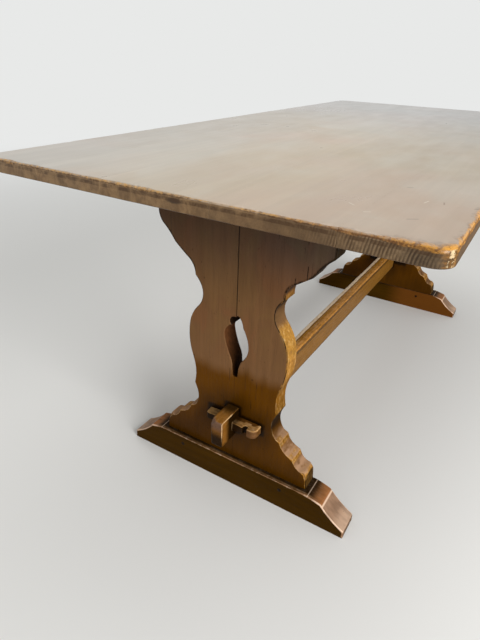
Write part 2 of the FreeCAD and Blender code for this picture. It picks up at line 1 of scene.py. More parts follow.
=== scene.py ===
# %% [markdown]
# # An oak refectory table
#
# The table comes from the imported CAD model: five boards for the top, two scalloped trestles on
# sledge feet, a stretcher and two loose wedges. This lesson dresses it. Flat boards with sawn,
# worn edges are made again as new surfaces, because the real edges are rounded unevenly by use.
# The small turned and square pieces keep their CAD solids and get softened arrises and a finish.

import math
from dataclasses import dataclass

import bpy
import numpy as np
from mathutils.geometry import delaunay_2d_cdt
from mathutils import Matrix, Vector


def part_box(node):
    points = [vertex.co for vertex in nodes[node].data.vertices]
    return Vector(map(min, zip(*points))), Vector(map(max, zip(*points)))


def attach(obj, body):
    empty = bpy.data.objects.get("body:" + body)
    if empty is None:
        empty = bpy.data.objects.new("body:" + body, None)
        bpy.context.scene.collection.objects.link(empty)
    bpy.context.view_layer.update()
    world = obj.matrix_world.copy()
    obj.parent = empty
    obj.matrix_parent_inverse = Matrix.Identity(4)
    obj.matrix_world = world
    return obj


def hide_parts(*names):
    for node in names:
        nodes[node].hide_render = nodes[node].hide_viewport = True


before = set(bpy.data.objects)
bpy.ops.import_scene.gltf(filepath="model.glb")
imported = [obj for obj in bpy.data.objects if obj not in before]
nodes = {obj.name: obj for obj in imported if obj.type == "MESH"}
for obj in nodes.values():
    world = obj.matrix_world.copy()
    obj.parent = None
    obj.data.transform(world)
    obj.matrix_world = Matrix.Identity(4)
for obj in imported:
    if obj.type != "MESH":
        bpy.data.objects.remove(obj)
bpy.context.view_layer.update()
MM = 0.001
ENDS = ("near", "far")

# %% [markdown]
# ## The camera
#
# A photograph's viewpoint can be worked out from straight edges whose directions are known. Here
# the edges of the top, the feet and the two like trestles gave the place, the three turns and the
# focal length, so the numbers below are the answer and not a guess by eye.

# %% The camera
CAMERA_PLACE = (-1.39836, -0.45657, 0.93705)
CAMERA_TURN = (61.2386, -1.8676, -58.3999)
FOCAL_LENGTH = 27.517
SENSOR_LONG_SIDE = 36.0

camera_data = bpy.data.cameras.new("camera")
camera_data.lens = FOCAL_LENGTH
camera_data.sensor_width = SENSOR_LONG_SIDE
camera = bpy.data.objects.new("camera", camera_data)
camera.location = CAMERA_PLACE
camera.rotation_euler = [math.radians(turn) for turn in CAMERA_TURN]
bpy.context.scene.collection.objects.link(camera)
bpy.context.scene.camera = camera
bpy.context.scene.view_settings.view_transform = "Standard"
print("camera", CAMERA_PLACE, "focal length", FOCAL_LENGTH, "mm")

# %% [markdown]
# ## Small helpers for shader nodes
#
# A material is a graph. Building it by hand takes three lines a node, so these helpers make a
# node, set its sockets and hand back an output. The output is wrapped as a Wire, and arithmetic on
# wires adds Math nodes, so that a mask reads like the formula that it is.


# %% Node helpers
class Wire:
    """An output of a node. Sums, products and the like of wires and numbers are Math nodes."""

    def __init__(self, socket):
        self.socket = socket
        self.tree = socket.id_data

    def __add__(self, other):
        return calculate("ADD", self, other)

    def __sub__(self, other):
        return calculate("SUBTRACT", self, other)

    def __rsub__(self, other):
        return calculate("SUBTRACT", other, self)

    def __mul__(self, other):
        return calculate("MULTIPLY", self, other)

    def __truediv__(self, other):
        return calculate("DIVIDE", self, other)

    def __abs__(self):
        return calculate("ABSOLUTE", self)


def connect(wire, socket):
    wire.tree.links.new(wire.socket, socket)


def shader_node(tree, kind, inputs=(), **settings):
    """One shader node: settings go on the node, inputs go on its sockets or are linked to them."""
    node = tree.nodes.new(kind)
    for key, value in settings.items():
        setattr(node, key, value)
    for key, value in dict(inputs).items():
        if isinstance(value, Wire):
            connect(value, node.inputs[key])
        elif isinstance(value, bpy.types.NodeSocket):
            tree.links.new(value, node.inputs[key])
        else:
            node.inputs[key].default_value = value
    return node


def output(tree, kind, inputs=(), which=0, **settings):
    return Wire(shader_node(tree, kind, inputs, **settings).outputs[which])


def tree_of(*values):
    return next(value.tree for value in values if isinstance(value, Wire))


def calculate(operation, first, second=0.0):
    return output(tree_of(first, second), "ShaderNodeMath", {0: first, 1: second}, operation=operation)


def larger(first, second):
    return calculate("MAXIMUM", first, second)


def smaller(first, second):
    return calculate("MINIMUM", first, second)


def sign(value):
    return calculate("SIGN", value)


def vectors(operation, first, second, which=0):
    """Two vectors added, subtracted or divided, or the distance between them."""
    tree = tree_of(first, second)
    return output(tree, "ShaderNodeVectorMath", {0: first, 1: second}, which, operation=operation)


def scaled(vector, factor):
    return output(factor.tree, "ShaderNodeVectorMath", {0: vector, 3: factor}, operation="SCALE")


def length_of(vector):
    return output(vector.tree, "ShaderNodeVectorMath", {0: vector}, "Value", operation="LENGTH")


def joined(x=0.0, y=0.0, z=0.0):
    return output(tree_of(x, y, z), "ShaderNodeCombineXYZ", {0: x, 1: y, 2: z})


def parts_of(vector):
    return [Wire(part) for part in shader_node(vector.tree, "ShaderNodeSeparateXYZ", {0: vector}).outputs]


def coordinates(tree, kind):
    return output(tree, "ShaderNodeTexCoord", which=kind)


def upward_part(tree):
    return parts_of(coordinates(tree, "Normal"))[2]


def stretch(vector, scale=(1, 1, 1), shift=(0, 0, 0), turn=(0, 0, 0)):
    inputs = {"Vector": vector, "Scale": scale, "Location": shift, "Rotation": turn}
    return output(vector.tree, "ShaderNodeMapping", inputs)


def noise(vector, scale, detail=3.0, roughness=0.5, distortion=0.0, shift=(0, 0, 0)):
    """Cloudy noise between zero and one, with this many clouds a metre along each axis."""
    inputs = {"Vector": stretch(vector, scale, shift), "Scale": 1.0, "Detail": detail,
              "Roughness": roughness, "Distortion": distortion}
    return output(vector.tree, "ShaderNodeTexNoise", inputs)


def ease(value, low, high, bottom=0.0, top=1.0):
    """A smooth step: bottom below low, top above high."""
    inputs = {"Value": value, "From Min": low, "From Max": high, "To Min": bottom, "To Max": top}
    return output(value.tree, "ShaderNodeMapRange", inputs, interpolation_type="SMOOTHSTEP")


def fade(value, low, high, top=1.0):
    """A smooth step down: top below low, zero above high."""
    return ease(value, low, high, top, 0.0)


def band(value, low, high, soft):
    """One between low and high, zero outside, with soft shoulders."""
    return ease(value, low - soft, low) * fade(value, high, high + soft)


def blend_colours(share, first, second, kind="MIX"):
    inputs = {0: share, 6: first, 7: second}
    settings = {"data_type": "RGBA", "blend_type": kind, "clamp_factor": True}
    return output(share.tree, "ShaderNodeMix", inputs, 2, **settings)


def darken(colour, share, grime):
    return blend_colours(share, colour, grime)


def paint(red, green, blue):
    """A colour as it looks on screen, from 0 to 255, turned into the light values that shaders use."""
    channels = [value / 255 for value in (red, green, blue)]
    linear = [c / 12.92 if c <= 0.04045 else ((c + 0.055) / 1.055) ** 2.4 for c in channels]
    return (*linear, 1.0)


print("white paint is", paint(255, 255, 255))

# %% [markdown]
# ## The studio
#
# A plain pale floor and soft light from every side, with a larger lamp on the right where the
# window was, so that the worn arrises catch it and the hollows under the top stay darker.

# %% The floor, the world and the lamps
FLOOR_HALF = 14.0
FLOOR_FADE_START = 1.2
FLOOR_FADE_END = 5.0
FLOOR_PAINT = paint(232, 231, 228)
FLOOR_BOUNCE = paint(142, 118, 92)
FLOOR_ROUGHNESS, FLOOR_SPECULAR = 0.7, 0.2
BACKDROP_PAINT = paint(232, 233, 232)
WORLD_STRENGTH = 0.6
# For each lamp: its place, the place it points at, its size and its power.
LAMPS = {"window_lamp": ((-1.7, -2.9, 1.9), (-0.4, 0, 0.3), 1.8, 105),
         "ceiling_lamp": ((0.6, 0.6, 3.0), (0, 0, 0.7), 2.4, 20)}


def sees_backdrop(tree):
    """One for rays from the camera and for those that gloss or glass sends on, else zero."""
    path = shader_node(tree, "ShaderNodeLightPath").outputs
    seen = larger(Wire(path["Is Camera Ray"]), Wire(path["Is Glossy Ray"]))
    return larger(seen, Wire(path["Is Transmission Ray"]))


def start_material(name, specular):
    """A new material with its tree, its own shader, and the object's coordinates."""
    material = bpy.data.materials.new(name)
    material.use_nodes = True
    tree = material.node_tree
    surface = tree.nodes["Principled BSDF"]
    surface.inputs["Specular IOR Level"].default_value = specular
    return material, tree, surface, coordinates(tree, "Object")


def make_floor():
    """A square of floor far larger than the view, pale and matt. It throws less light back up than
    it shows, so that undersides stay dark, and far out it takes the backdrop's colour, so that no
    horizon shows."""
    corners = [(x * FLOOR_HALF, y * FLOOR_HALF, 0) for x, y in ((-1, -1), (1, -1), (1, 1), (-1, 1))]
    mesh = bpy.data.meshes.new("floor")
    mesh.from_pydata(corners, [], [(0, 1, 2, 3)])
    floor = bpy.data.objects.new("floor", mesh)
    bpy.context.scene.collection.objects.link(floor)
    material, tree, surface, place = start_material("pale_floor", FLOOR_SPECULAR)
    surface.inputs["Roughness"].default_value = FLOOR_ROUGHNESS
    connect(blend_colours(sees_backdrop(tree), FLOOR_BOUNCE, FLOOR_PAINT), surface.inputs["Base Color"])
    backdrop = shader_node(tree, "ShaderNodeEmission", {"Color": BACKDROP_PAINT, "Strength": 1.0})
    share = ease(length_of(place), FLOOR_FADE_START, FLOOR_FADE_END) * sees_backdrop(tree)
    shaders = {0: share, 1: surface.outputs[0], 2: backdrop.outputs[0]}
    connect(output(tree, "ShaderNodeMixShader", shaders), tree.nodes["Material Output"].inputs["Surface"])
    mesh.materials.append(material)


def light_world():
    """Rays that the camera, gloss and glass send out see a pale backdrop; the rest get plain light."""
    world = bpy.data.worlds.new("studio")
    world.use_nodes = True
    bpy.context.scene.world = world
    background = world.node_tree.nodes["Background"]
    background.inputs["Color"].default_value = BACKDROP_PAINT
    strength = ease(sees_backdrop(world.node_tree), 0, 1, WORLD_STRENGTH, 1.0)
    connect(strength, background.inputs["Strength"])


def hang_lamp(name, place, target, size, power):
    lamp_data = bpy.data.lights.new(name, "AREA")
    lamp_data.shape = "DISK"
    lamp_data.size = size
    lamp_data.energy = power
    lamp = bpy.data.objects.new(name, lamp_data)
    lamp.location = place
    direction = np.array(target, float) - np.array(place, float)
    yaw = math.atan2(direction[0], -direction[1])
    pitch = math.atan2(math.hypot(direction[0], direction[1]), -direction[2])
    lamp.rotation_euler = (pitch, 0, yaw + math.pi)
    bpy.context.scene.collection.objects.link(lamp)


make_floor()
light_world()
for name, lamp in LAMPS.items():
    hang_lamp(name, *lamp)
print("floor", 2 * FLOOR_HALF, "m across;", len(LAMPS), "lamps")

# %% [markdown]
# ## Outlines
#
# Every board of this table is a flat outline with a thickness. The CAD model knows the outlines,
# so they are read back from its solids: the edges that only one triangle of a flat face uses make
# up the face's rim, and following them from corner to corner gives the closed line.


# %% Reading a face's outline from a CAD node
PLACE_DIGITS, FLAT_WITHIN = 6, 0.01 * MM


def face_outlines(name, axis, height):
    """The closed rims of the flat face of a node at one height along an axis, longest first."""
    mesh = nodes[name].data
    places = np.zeros(len(mesh.vertices) * 3)
    mesh.vertices.foreach_get("co", places)
    places = np.round(places.reshape(-1, 3), PLACE_DIGITS)
    corners = np.zeros(len(mesh.loops), int)
    mesh.loops.foreach_get("vertex_index", corners)
    spots, merged = np.unique(places, axis=0, return_inverse=True)
    triangles = merged.reshape(-1)[corners].reshape(-1, 3)
    flat = np.all(np.abs(spots[triangles][:, :, axis] - height) < FLAT_WITHIN, axis=1)
    sides = np.vstack([triangles[flat][:, pair] for pair in ([0, 1], [1, 2], [2, 0])])
    keys = {tuple(side) for side in sides}
    following = {a: b for a, b in keys if (b, a) not in keys}
    outlines = []
    while following:
        spot = next(iter(following))
        line = []
        while spot in following:
            line.append(spot)
            spot = following.pop(spot)
        across = [k for k in range(3) if k != axis]
        outlines.append(spots[line][:, across])
    return sorted(outlines, key=lambda line: -perimeter(line))


def perimeter(line):
    return np.linalg.norm(np.diff(np.vstack([line, line[:1]]), axis=0), axis=1).sum()


def counter_clockwise(line):
    following = np.roll(line, -1, axis=0)
    area = (line[:, 0] * following[:, 1] - following[:, 0] * line[:, 1]).sum()
    return line if area > 0 else line[::-1]


outer_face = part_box("near_trestle_left_board")[0].x
board_outline = counter_clockwise(face_outlines("near_trestle_left_board", 0, outer_face)[0])
print("a trestle board's outline has", len(board_outline), "points,", round(perimeter(board_outline), 3), "m")

# %% [markdown]
# ## Worn outlines
#
# A sawn outline has corners, and years of hands and feet round them off. Points are set at even
# steps along the line, and each is then replaced by a bell-shaped average of its neighbours, which
# rounds a corner by about the reach of the bell and leaves straight runs straight.


# %% Even steps and rounded corners
FEWEST_STEPS = 12
WAVES_ADDED, WAVE_PACES = 7, (0.6, 1.7)
SHARP_BEND = 60


def even_steps(line, step):
    """Points at equal distances along a closed line, found by linear interpolation of its length."""
    closed = np.vstack([line, line[:1]])
    along = np.concatenate([[0], np.cumsum(np.linalg.norm(np.diff(closed, axis=0), axis=1))])
    places = np.linspace(0, along[-1], max(int(round(along[-1] / step)), FEWEST_STEPS), endpoint=False)
    return np.column_stack([np.interp(places, along, closed[:, k]) for k in (0, 1)])


def average_along(values, step, reach):
    """A closed row of values, each one a bell-weighted mean of those within three reaches of it."""
    half = max(int(3 * reach / step), 1)
    offsets = np.arange(-half, half + 1)
    weights = np.exp(-0.5 * (offsets * step / reach) ** 2)
    return sum(w * np.roll(values, k, axis=0) for w, k in zip(weights / weights.sum(), offsets))


def outward(line):
    """Unit vectors in the plane, a quarter turn clockwise from the way the line runs."""
    way = np.roll(line, -1, axis=0) - np.roll(line, 1, axis=0)
    way /= np.linalg.norm(way, axis=1, keepdims=True)
    return np.column_stack([way[:, 1], -way[:, 0]])


def bend_of(line, step, reach=6 * MM):
    """How sharply the line turns, in turns per metre: above zero where the wood stands out."""
    normal = outward(line)
    following = np.roll(normal, -1, axis=0)
    turning = normal[:, 0] * following[:, 1] - normal[:, 1] * following[:, 0]
    return average_along(turning / step, step, reach)


def waves(u, v, length, seed):
    """A gentle uneven surface between minus one and one: seven sine waves of about one length that
    run in random directions, added up."""
    random = np.random.default_rng(seed)
    total = np.zeros(np.broadcast(u, v).shape)
    for _ in range(WAVES_ADDED):
        angle, phase, pace = random.uniform(0, math.tau, 2).tolist() + [random.uniform(*WAVE_PACES)]
        across = u * math.cos(angle) + v * math.sin(angle)
        total += np.sin(across * pace * math.tau / length + phase)
    return total / WAVES_ADDED


def bulging(bend):
    """Zero on straight runs and in hollows, one where the line turns sharply outward."""
    return np.clip(bend / SHARP_BEND, 0, 1)


sharpest = bend_of(even_steps(board_outline, 2 * MM), 2 * MM).max()
print("a board's outline turns by", round(sharpest), "per metre at most")

# %% [markdown]
# ## Boards with worn edges
#
# One function makes every board, foot and rail. A short profile is carried along the outline: flat
# face, rounded arris, sawn edge, rounded arris, flat face. How round each arris is may change from
# point to point. The two faces are then filled with triangles through a net of inner points, so
# that they can be a little uneven too. Each point also keeps numbers that the finishes use: how
# far it is from the arris, how much it was rubbed, whether it is end grain, and which board it is.

# %% A slab from an outline
ARC_STEPS = 4
SIDE_ROWS = 5
FACE_RINGS = (1.5 * MM, 4 * MM, 9 * MM)
DEEPEST_HOLLOW = 0.5 * MM
RING_CLEARANCE, NET_CLEARANCE = 0.8, 0.4
POINTS_AT_A_TIME = 400


@dataclass
class Rim:
    """A closed line and, for each of its points, the way into the board, the arris radius at the
    low and the high face, how much it was rubbed, and how much of it is end grain."""
    line: np.ndarray
    inward: np.ndarray
    lower: np.ndarray
    upper: np.ndarray
    rubbed: np.ndarray
    end_grain: np.ndarray


def worn_rim(outline, step, radius, grain, reach=1.3 * MM):
    """A rim from a sawn outline: even steps, rounded corners, and more wear where it bulges."""
    line = average_along(even_steps(outline, step), step, reach)
    bend = bend_of(line, step)
    lower, upper, rubbed = radius(line, bend)
    way_out = outward(line)
    return Rim(line, -way_out, lower, upper, rubbed, np.abs(way_out @ np.array(grain)))


def distance_to(points, lines):
    """The least distance from each point to the segments of some closed lines, and which point of
    all the lines begins the nearest segment."""
    start = np.vstack(lines)
    way = np.vstack([np.roll(line, -1, axis=0) for line in lines]) - start
    length = np.maximum((way**2).sum(1), 1e-18)
    least, nearest = np.zeros(len(points)), np.zeros(len(points), int)
    for first in range(0, len(points), POINTS_AT_A_TIME):
        part = slice(first, first + POINTS_AT_A_TIME)
        offset = points[part, None] - start[None]
        share = np.clip((offset * way).sum(2) / length, 0, 1)
        distances = np.linalg.norm(offset - share[..., None] * way, axis=2)
        least[part], nearest[part] = distances.min(1), distances.argmin(1)
    return least, nearest


def fill_face(lines, inwards, gap):
    """Triangles that fill the flat face inside its rims, through rings near the rims and a square
    net further in. Returns the inner points, their distance from the rims, the rim point that is
    nearest to each, and the triangles."""
    rings = [(line + inward * depth)[::2] for line, inward in zip(lines, inwards) for depth in FACE_RINGS]
    wanted = [np.full(len(ring), depth * RING_CLEARANCE)
              for ring, depth in zip(rings, FACE_RINGS * len(lines))]
    low, high = lines[0].min(0), lines[0].max(0)
    steps = [np.linspace(low[k], high[k], int((high[k] - low[k]) / gap) + 2)[1:-1] for k in (0, 1)]
    net = np.stack(np.meshgrid(*steps), -1).reshape(-1, 2)
    points = np.vstack([*rings, net])
    wanted = np.concatenate([*wanted, np.full(len(net), FACE_RINGS[-1] + gap * NET_CLEARANCE)])
    depth, nearest = distance_to(points, lines)
    kept = depth >= wanted
    points, depth, nearest = points[kept], depth[kept], nearest[kept]
    rim = np.vstack(lines)
    edges, first = [], 0
    for line in lines:
        edges += [(first + k, first + (k + 1) % len(line)) for k in range(len(line))]
        first += len(line)
    result = delaunay_2d_cdt([tuple(p) for p in np.vstack([rim, points])], edges, [], 2, 1e-7)
    crossings = [k for k, origins in enumerate(result[3]) if not origins]
    added = np.array([result[0][k][:] for k in crossings]).reshape(-1, 2)
    count = len(rim) + len(points)
    source = np.array([origins[0] if origins else count + crossings.index(k)
                       for k, origins in enumerate(result[3])])
    triangles = source[np.array([face for face in result[2] if len(face) == 3])]
    blank = np.zeros(len(added))
    depth = np.concatenate([depth, blank])
    nearest = np.concatenate([nearest, blank]).astype(int)
    return np.vstack([points, added]), depth, nearest, triangles


print("points lie on rings", FACE_RINGS, "m inside each rim")

# %% A slab from its rims
UNEVEN_LENGTH = 0.16


def arris_row(radius, angle, face, way):
    """A row of points round an arris: how far in, how high, how far from the arris, and the share
    of the sawn edge's roughness. way is 1 at the low face and -1 at the high one."""
    share = 1 - math.sin(angle)
    height = face + way * radius * (1 - math.cos(angle))
    return radius * share, height, radius * (1 - 4 * angle / math.pi), 1 - share


def slab(rims, low, high, roughen, uneven=0.0, gap=12 * MM, number=0):
    """A board: rims in a plane (the outer one, then any holes), carried from the low to the high
    face. roughen(line, rise) says how far the sawn edge stands out at each point of a row."""
    places, faces, values = [], [], []
    face_lines, face_ids = {0: [], 1: []}, {0: [], 1: []}
    total = 0
    for rim in rims:
        count = len(rim.line)
        angles = np.linspace(0, math.pi / 2, ARC_STEPS + 1)
        rows = [arris_row(rim.lower, angle, low, 1) for angle in angles]
        for part in np.linspace(0, 1, SIDE_ROWS + 2)[1:-1]:
            rise = low + rim.lower + (high - rim.upper - low - rim.lower) * part
            rows.append((np.zeros(count), rise, -np.minimum(rise - low, high - rise), 1))
        angles = np.linspace(math.pi / 2, 0, ARC_STEPS + 1)
        rows += [arris_row(rim.upper, angle, high, -1) for angle in angles]
        ids = total + np.arange(len(rows) * count).reshape(len(rows), count)
        for inset, rise, signed, on_edge in rows:
            hollow = -roughen(rim.line, rise) * on_edge
            places.append(np.column_stack([rim.line + rim.inward * (inset + hollow)[:, None], rise]))
            values.append(np.column_stack([signed, rim.end_grain, rim.rubbed, hollow / DEEPEST_HOLLOW]))
        beside = np.roll(ids, -1, axis=1)
        faces.append(np.stack([ids[:-1], beside[:-1], beside[1:], ids[1:]], -1).reshape(-1, 4))
        for side, row in ((0, -len(rows)), (1, -1)):
            face_lines[side].append(places[row][:, :2])
            face_ids[side].append(ids[row % len(rows)])
        total += len(rows) * count
    for side, height in ((0, low), (1, high)):
        points, depth, nearest, triangles = fill_face(face_lines[side], [rim.inward for rim in rims], gap)
        ids = np.concatenate([*face_ids[side], total + np.arange(len(points))])
        places.append(np.column_stack([points, np.full(len(points), height)]))
        radius = np.concatenate([rim.upper if side else rim.lower for rim in rims])[nearest]
        rubbed = np.concatenate([rim.rubbed for rim in rims])[nearest]
        blank = np.zeros(len(points))
        values.append(np.column_stack([depth + radius, blank, rubbed, blank]))
        total += len(points)
        faces.append(ids[triangles] if side else ids[triangles[:, ::-1]])
    places, values = np.vstack(places), np.vstack(values)
    lift = (places[:, 2] - (low + high) / 2) / ((high - low) / 2)
    places[:, 2] -= lift * uneven * (waves(places[:, 0], places[:, 1], UNEVEN_LENGTH, number) + 1) / 2
    return places, faces, np.column_stack([values, np.full(len(values), float(number))])


print("a slab's edge has", 2 * (ARC_STEPS + 1) + SIDE_ROWS, "rows of points")

# %% Broken corners and pieces
BREAK_REACH = 22 * MM
ATTRIBUTES = ("arris_distance", "end_grain", "rubbed", "hollow", "board_number")


def break_corner(places, corner, way, depth, soft=1.5 * MM):
    """Takes a corner off along a plane that faces way, this far below the corner. A point stands
    over the plane by o; it goes back by o, or by (o + soft)^2 / (4 soft) where o is less than
    soft, so the break starts round."""
    way = np.array(way) / np.linalg.norm(way)
    offset = places - np.array(corner)
    over = np.where(np.linalg.norm(offset, axis=1) < BREAK_REACH, offset @ way + depth, -1)
    back = np.where(over > soft, over, np.clip(over + soft, 0, None)**2 / (4 * soft))
    return places - back[:, None] * way


def make_piece(name, parts, order, turned=False):
    """A mesh object from slabs. order says which of the slab's axes become X, Y and Z, and a turned
    piece is carried half round the table's upright middle line."""
    mesh = bpy.data.meshes.new(name)
    places, faces, values, total = [], [], [], 0
    for part_places, part_faces, part_values in parts:
        places.append(part_places[:, order])
        faces += [tuple(face) for block in part_faces for face in (block + total).tolist()]
        values.append(part_values)
        total += len(part_places)
    places = np.vstack(places)
    if turned:
        places[:, :2] *= -1
    mesh.from_pydata(places.tolist(), [], faces)
    for column, attribute in zip(np.vstack(values).T, ATTRIBUTES):
        layer = mesh.attributes.new(attribute, "FLOAT", "POINT")
        layer.data.foreach_set("value", column.astype(np.float32))
    mesh.shade_smooth()
    piece = bpy.data.objects.new(name, mesh)
    bpy.context.scene.collection.objects.link(piece)
    weighted = piece.modifiers.new("weighted_normals", "WEIGHTED_NORMAL")
    weighted.keep_sharp = True
    return piece


def stand_for(piece, node, body="table"):
    """The worn piece is shown in place of its plain CAD node and moves with the same body."""
    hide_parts(node)
    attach(piece, body)
    return piece


print("a sawn edge has", 2 * (ARC_STEPS + 1) + SIDE_ROWS, "rows of points")

# %% [markdown]
# ## The trestle boards
#
# Each trestle is two boards glued at the middle. Hands and feet have rubbed the scalloped edges
# round, most of all where the line bulges out, while the seam in the middle stays tight. So the
# arris radius follows how sharply the outline turns, and it is almost nothing along the seam. The
# sawn edge keeps shallow marks across the thickness.

# %% Trestle boards
TRESTLE_NUMBER, FOOT_NUMBER, RAIL_NUMBER, TENON_NUMBER, WEDGE_NUMBER = 10, 20, 30, 31, 40
RIM_STEP = 2 * MM
CLEAR = 1 * MM
SEAM_RADIUS = 0.35 * MM
ARRIS_RADIUS = 2.2 * MM
SAW_DEPTH = 0.35 * MM
PIERCING_REACH = 36 * MM
TOE_ACROSS, TOE_HEIGHT = 0.1930, 0.1195
TOE_BREAKS = (9.0 * MM, 6.5 * MM)
TOE_WAY = (0.62, 0.45, 0.64)


def scallop_radius(line, bend):
    """Round by use on the outside, tight along the seam and under the top."""
    low, high = line[:, 1].min(), line[:, 1].max()
    seam = np.abs(line[:, 0]) < CLEAR
    free = ~seam & (line[:, 1] < high - CLEAR) & (line[:, 1] > low + CLEAR)
    bulge = 1 + 0.5 * np.clip(bend / 40, -0.5, 1.2)
    worn = ARRIS_RADIUS * bulge * (1 + 0.25 * waves(line[:, 0], line[:, 1], 0.05, 3))
    radius = np.where(seam, SEAM_RADIUS, average_along(np.where(free, worn, SEAM_RADIUS), RIM_STEP, 3 * MM))
    reached = free & (np.abs(line[:, 0]) > PIERCING_REACH)
    rubbed = average_along(np.where(reached, np.clip(0.5 + bend / 50, 0.1, 1), 0), RIM_STEP, 4 * MM)
    return radius, radius, rubbed


def scallop_saw_marks(line, rise):
    """Shallow marks of the saw that run across the thickness, none along the seam."""
    free = np.clip((np.abs(line[:, 0]) - 2 * MM) / (3 * MM), 0, 1)
    return -SAW_DEPTH * free * (1 + waves(line[:, 0] - line[:, 1], rise * 0.25, 0.011, 5)) / 2


def dress_trestle_board(end, side):
    name = f"{end}_trestle_{side}_board"
    low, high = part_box(name)
    turned = end == "far"
    outline = face_outlines(name, 0, high.x if turned else low.x)[0] * ((-1, 1) if turned else (1, 1))
    rim = worn_rim(counter_clockwise(outline), RIM_STEP, scallop_radius, (0, 1))
    depth = (-high.x, -low.x) if turned else (low.x, high.x)
    number = TRESTLE_NUMBER + ENDS.index(end) * 2 + ("left", "right").index(side)
    places, faces, values = slab([rim], *depth, scallop_saw_marks, uneven=0.35 * MM, number=number)
    toe = math.copysign(TOE_ACROSS, rim.line[:, 0].sum())
    across, up, out = TOE_WAY
    for face, out_of_face, share in zip(depth, (-out, out), TOE_BREAKS):
        way = (math.copysign(across, toe), up, out_of_face)
        places = break_corner(places, (toe, TOE_HEIGHT, face), way, share)
    piece = make_piece(f"{name}_worn", [(places, faces, values)], [2, 0, 1], turned)
    return stand_for(piece, name)


trestle_boards = [dress_trestle_board(end, side) for end in ENDS for side in ("left", "right")]
print([len(piece.data.vertices) for piece in trestle_boards], "points in the trestle boards")

# %% [markdown]
# ## The feet
#
# A foot is one thick block, flat on top where the boards stand and hollowed to a blunt tip. Its
# rim comes from the CAD solid too, but that one is chamfered all round, so the line on its face is
# first moved out again by the chamfer. The two peg holes are rims of their own.

# %% Feet
FOOT_CHAMFER = 2.5 * MM
FOOT_RADIUS = 3.2 * MM
FLOOR_RADIUS, TIGHT_RADIUS = 0.6 * MM, 0.5 * MM
FOOT_SAW_DEPTH = 0.3 * MM


def foot_radius(line, bend):
    """Round above the floor and where feet rest, nearly sharp along the floor."""
    free = line[:, 1] > 3 * MM
    uneven = 1 + 0.35 * waves(line[:, 0], line[:, 1], 0.07, 8)
    worn = FOOT_RADIUS * uneven + 1.5 * MM * bulging(bend)
    radius = average_along(np.where(free, worn, FLOOR_RADIUS), RIM_STEP, 3 * MM)
    return radius, radius, np.where(free, np.clip(0.5 + bend / 50, 0.2, 1), 0)


def tight(line, bend):
    """A nearly sharp arris that nothing has rubbed, as round a hole or a mortise."""
    radius = np.full(len(line), TIGHT_RADIUS)
    return radius, radius, np.zeros(len(line))


def foot_saw_marks(line, rise):
    """Shallow marks of the saw, fading out in the lowest four millimetres."""
    above = np.clip(line[:, 1] / (4 * MM), 0, 1)
    return -FOOT_SAW_DEPTH * above * (1 + waves(line[:, 0], rise * 0.6, 0.02, 9)) / 2


def dress_foot(end):
    name = f"{end}_foot"
    low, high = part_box(name)
    turned = end == "far"
    outer, *holes = face_outlines(name, 0, high.x if turned else low.x)
    if turned:
        outer, *holes = [line * (-1, 1) for line in (outer, *holes)]
    line = even_steps(counter_clockwise(outer), 1 * MM)
    raised = line[:, 1] > 0.1 * MM
    line = line + outward(line) * np.where(raised, FOOT_CHAMFER, 0)[:, None]
    line[:, 1] = np.clip(line[:, 1], 0, high.z)
    rims = [worn_rim(line, RIM_STEP, foot_radius, (1, 0))]
    rims += [worn_rim(counter_clockwise(hole)[::-1], 1 * MM, tight, (1, 0), 0.5 * MM) for hole in holes]
    depth = (-high.x, -low.x) if turned else (low.x, high.x)
    part = slab(rims, *depth, foot_saw_marks, uneven=0.3 * MM, number=FOOT_NUMBER + turned)
    return stand_for(make_piece(f"{name}_worn", [part], [2, 0, 1], turned), name)


feet = [dress_foot(end) for end in ENDS]
print([len(piece.data.vertices) for piece in feet], "points in the feet")

# %% [markdown]
# ## The top
#
# Five boards lie edge to edge. Their outlines are plain, so they are worked out here from each
# board's box. The outer arris is rubbed round and chipped, the seams stay tight, and the sawn ends
# keep upright ridges a few millimetres apart, strongest on the right where the saw last ran.

# %% Top boards
TOP_CORNER_RADIUS = 26 * MM
TOP_ARRIS = 4.8 * MM
TOP_LOWER_ARRIS = 1.6 * MM
RIDGE_PITCH = 4.2 * MM
RIDGE_DEPTH = 0.45 * MM
END_STEP = 0.8 * MM
TOP_SEAM_RADIUS = 0.15 * MM
TOP_HANDLED_CORNER = (0.869, 0.4025)
HANDLED_REACH = 70 * MM
SIDE_STEP = 4 * MM
RIDGE_SLANT, FLUTTER, TREMBLE = 0.22, 2.6, 1.5
TOP_BOARDS = 5
SIDE_GAP = 9 * MM
CORNER_POINTS = 28
CHIP_DEPTH, HANDLED_DEPTH = 2.6 * MM, 2.6 * MM


def run(start, end, step):
    """Points from start up to but not at the end, in even steps."""
    length = math.dist(start, end)
    shares = np.linspace(0, 1, max(int(length / step), 1), endpoint=False)[:, None]
    return np.array(start) * (1 - shares) + np.array(end) * shares


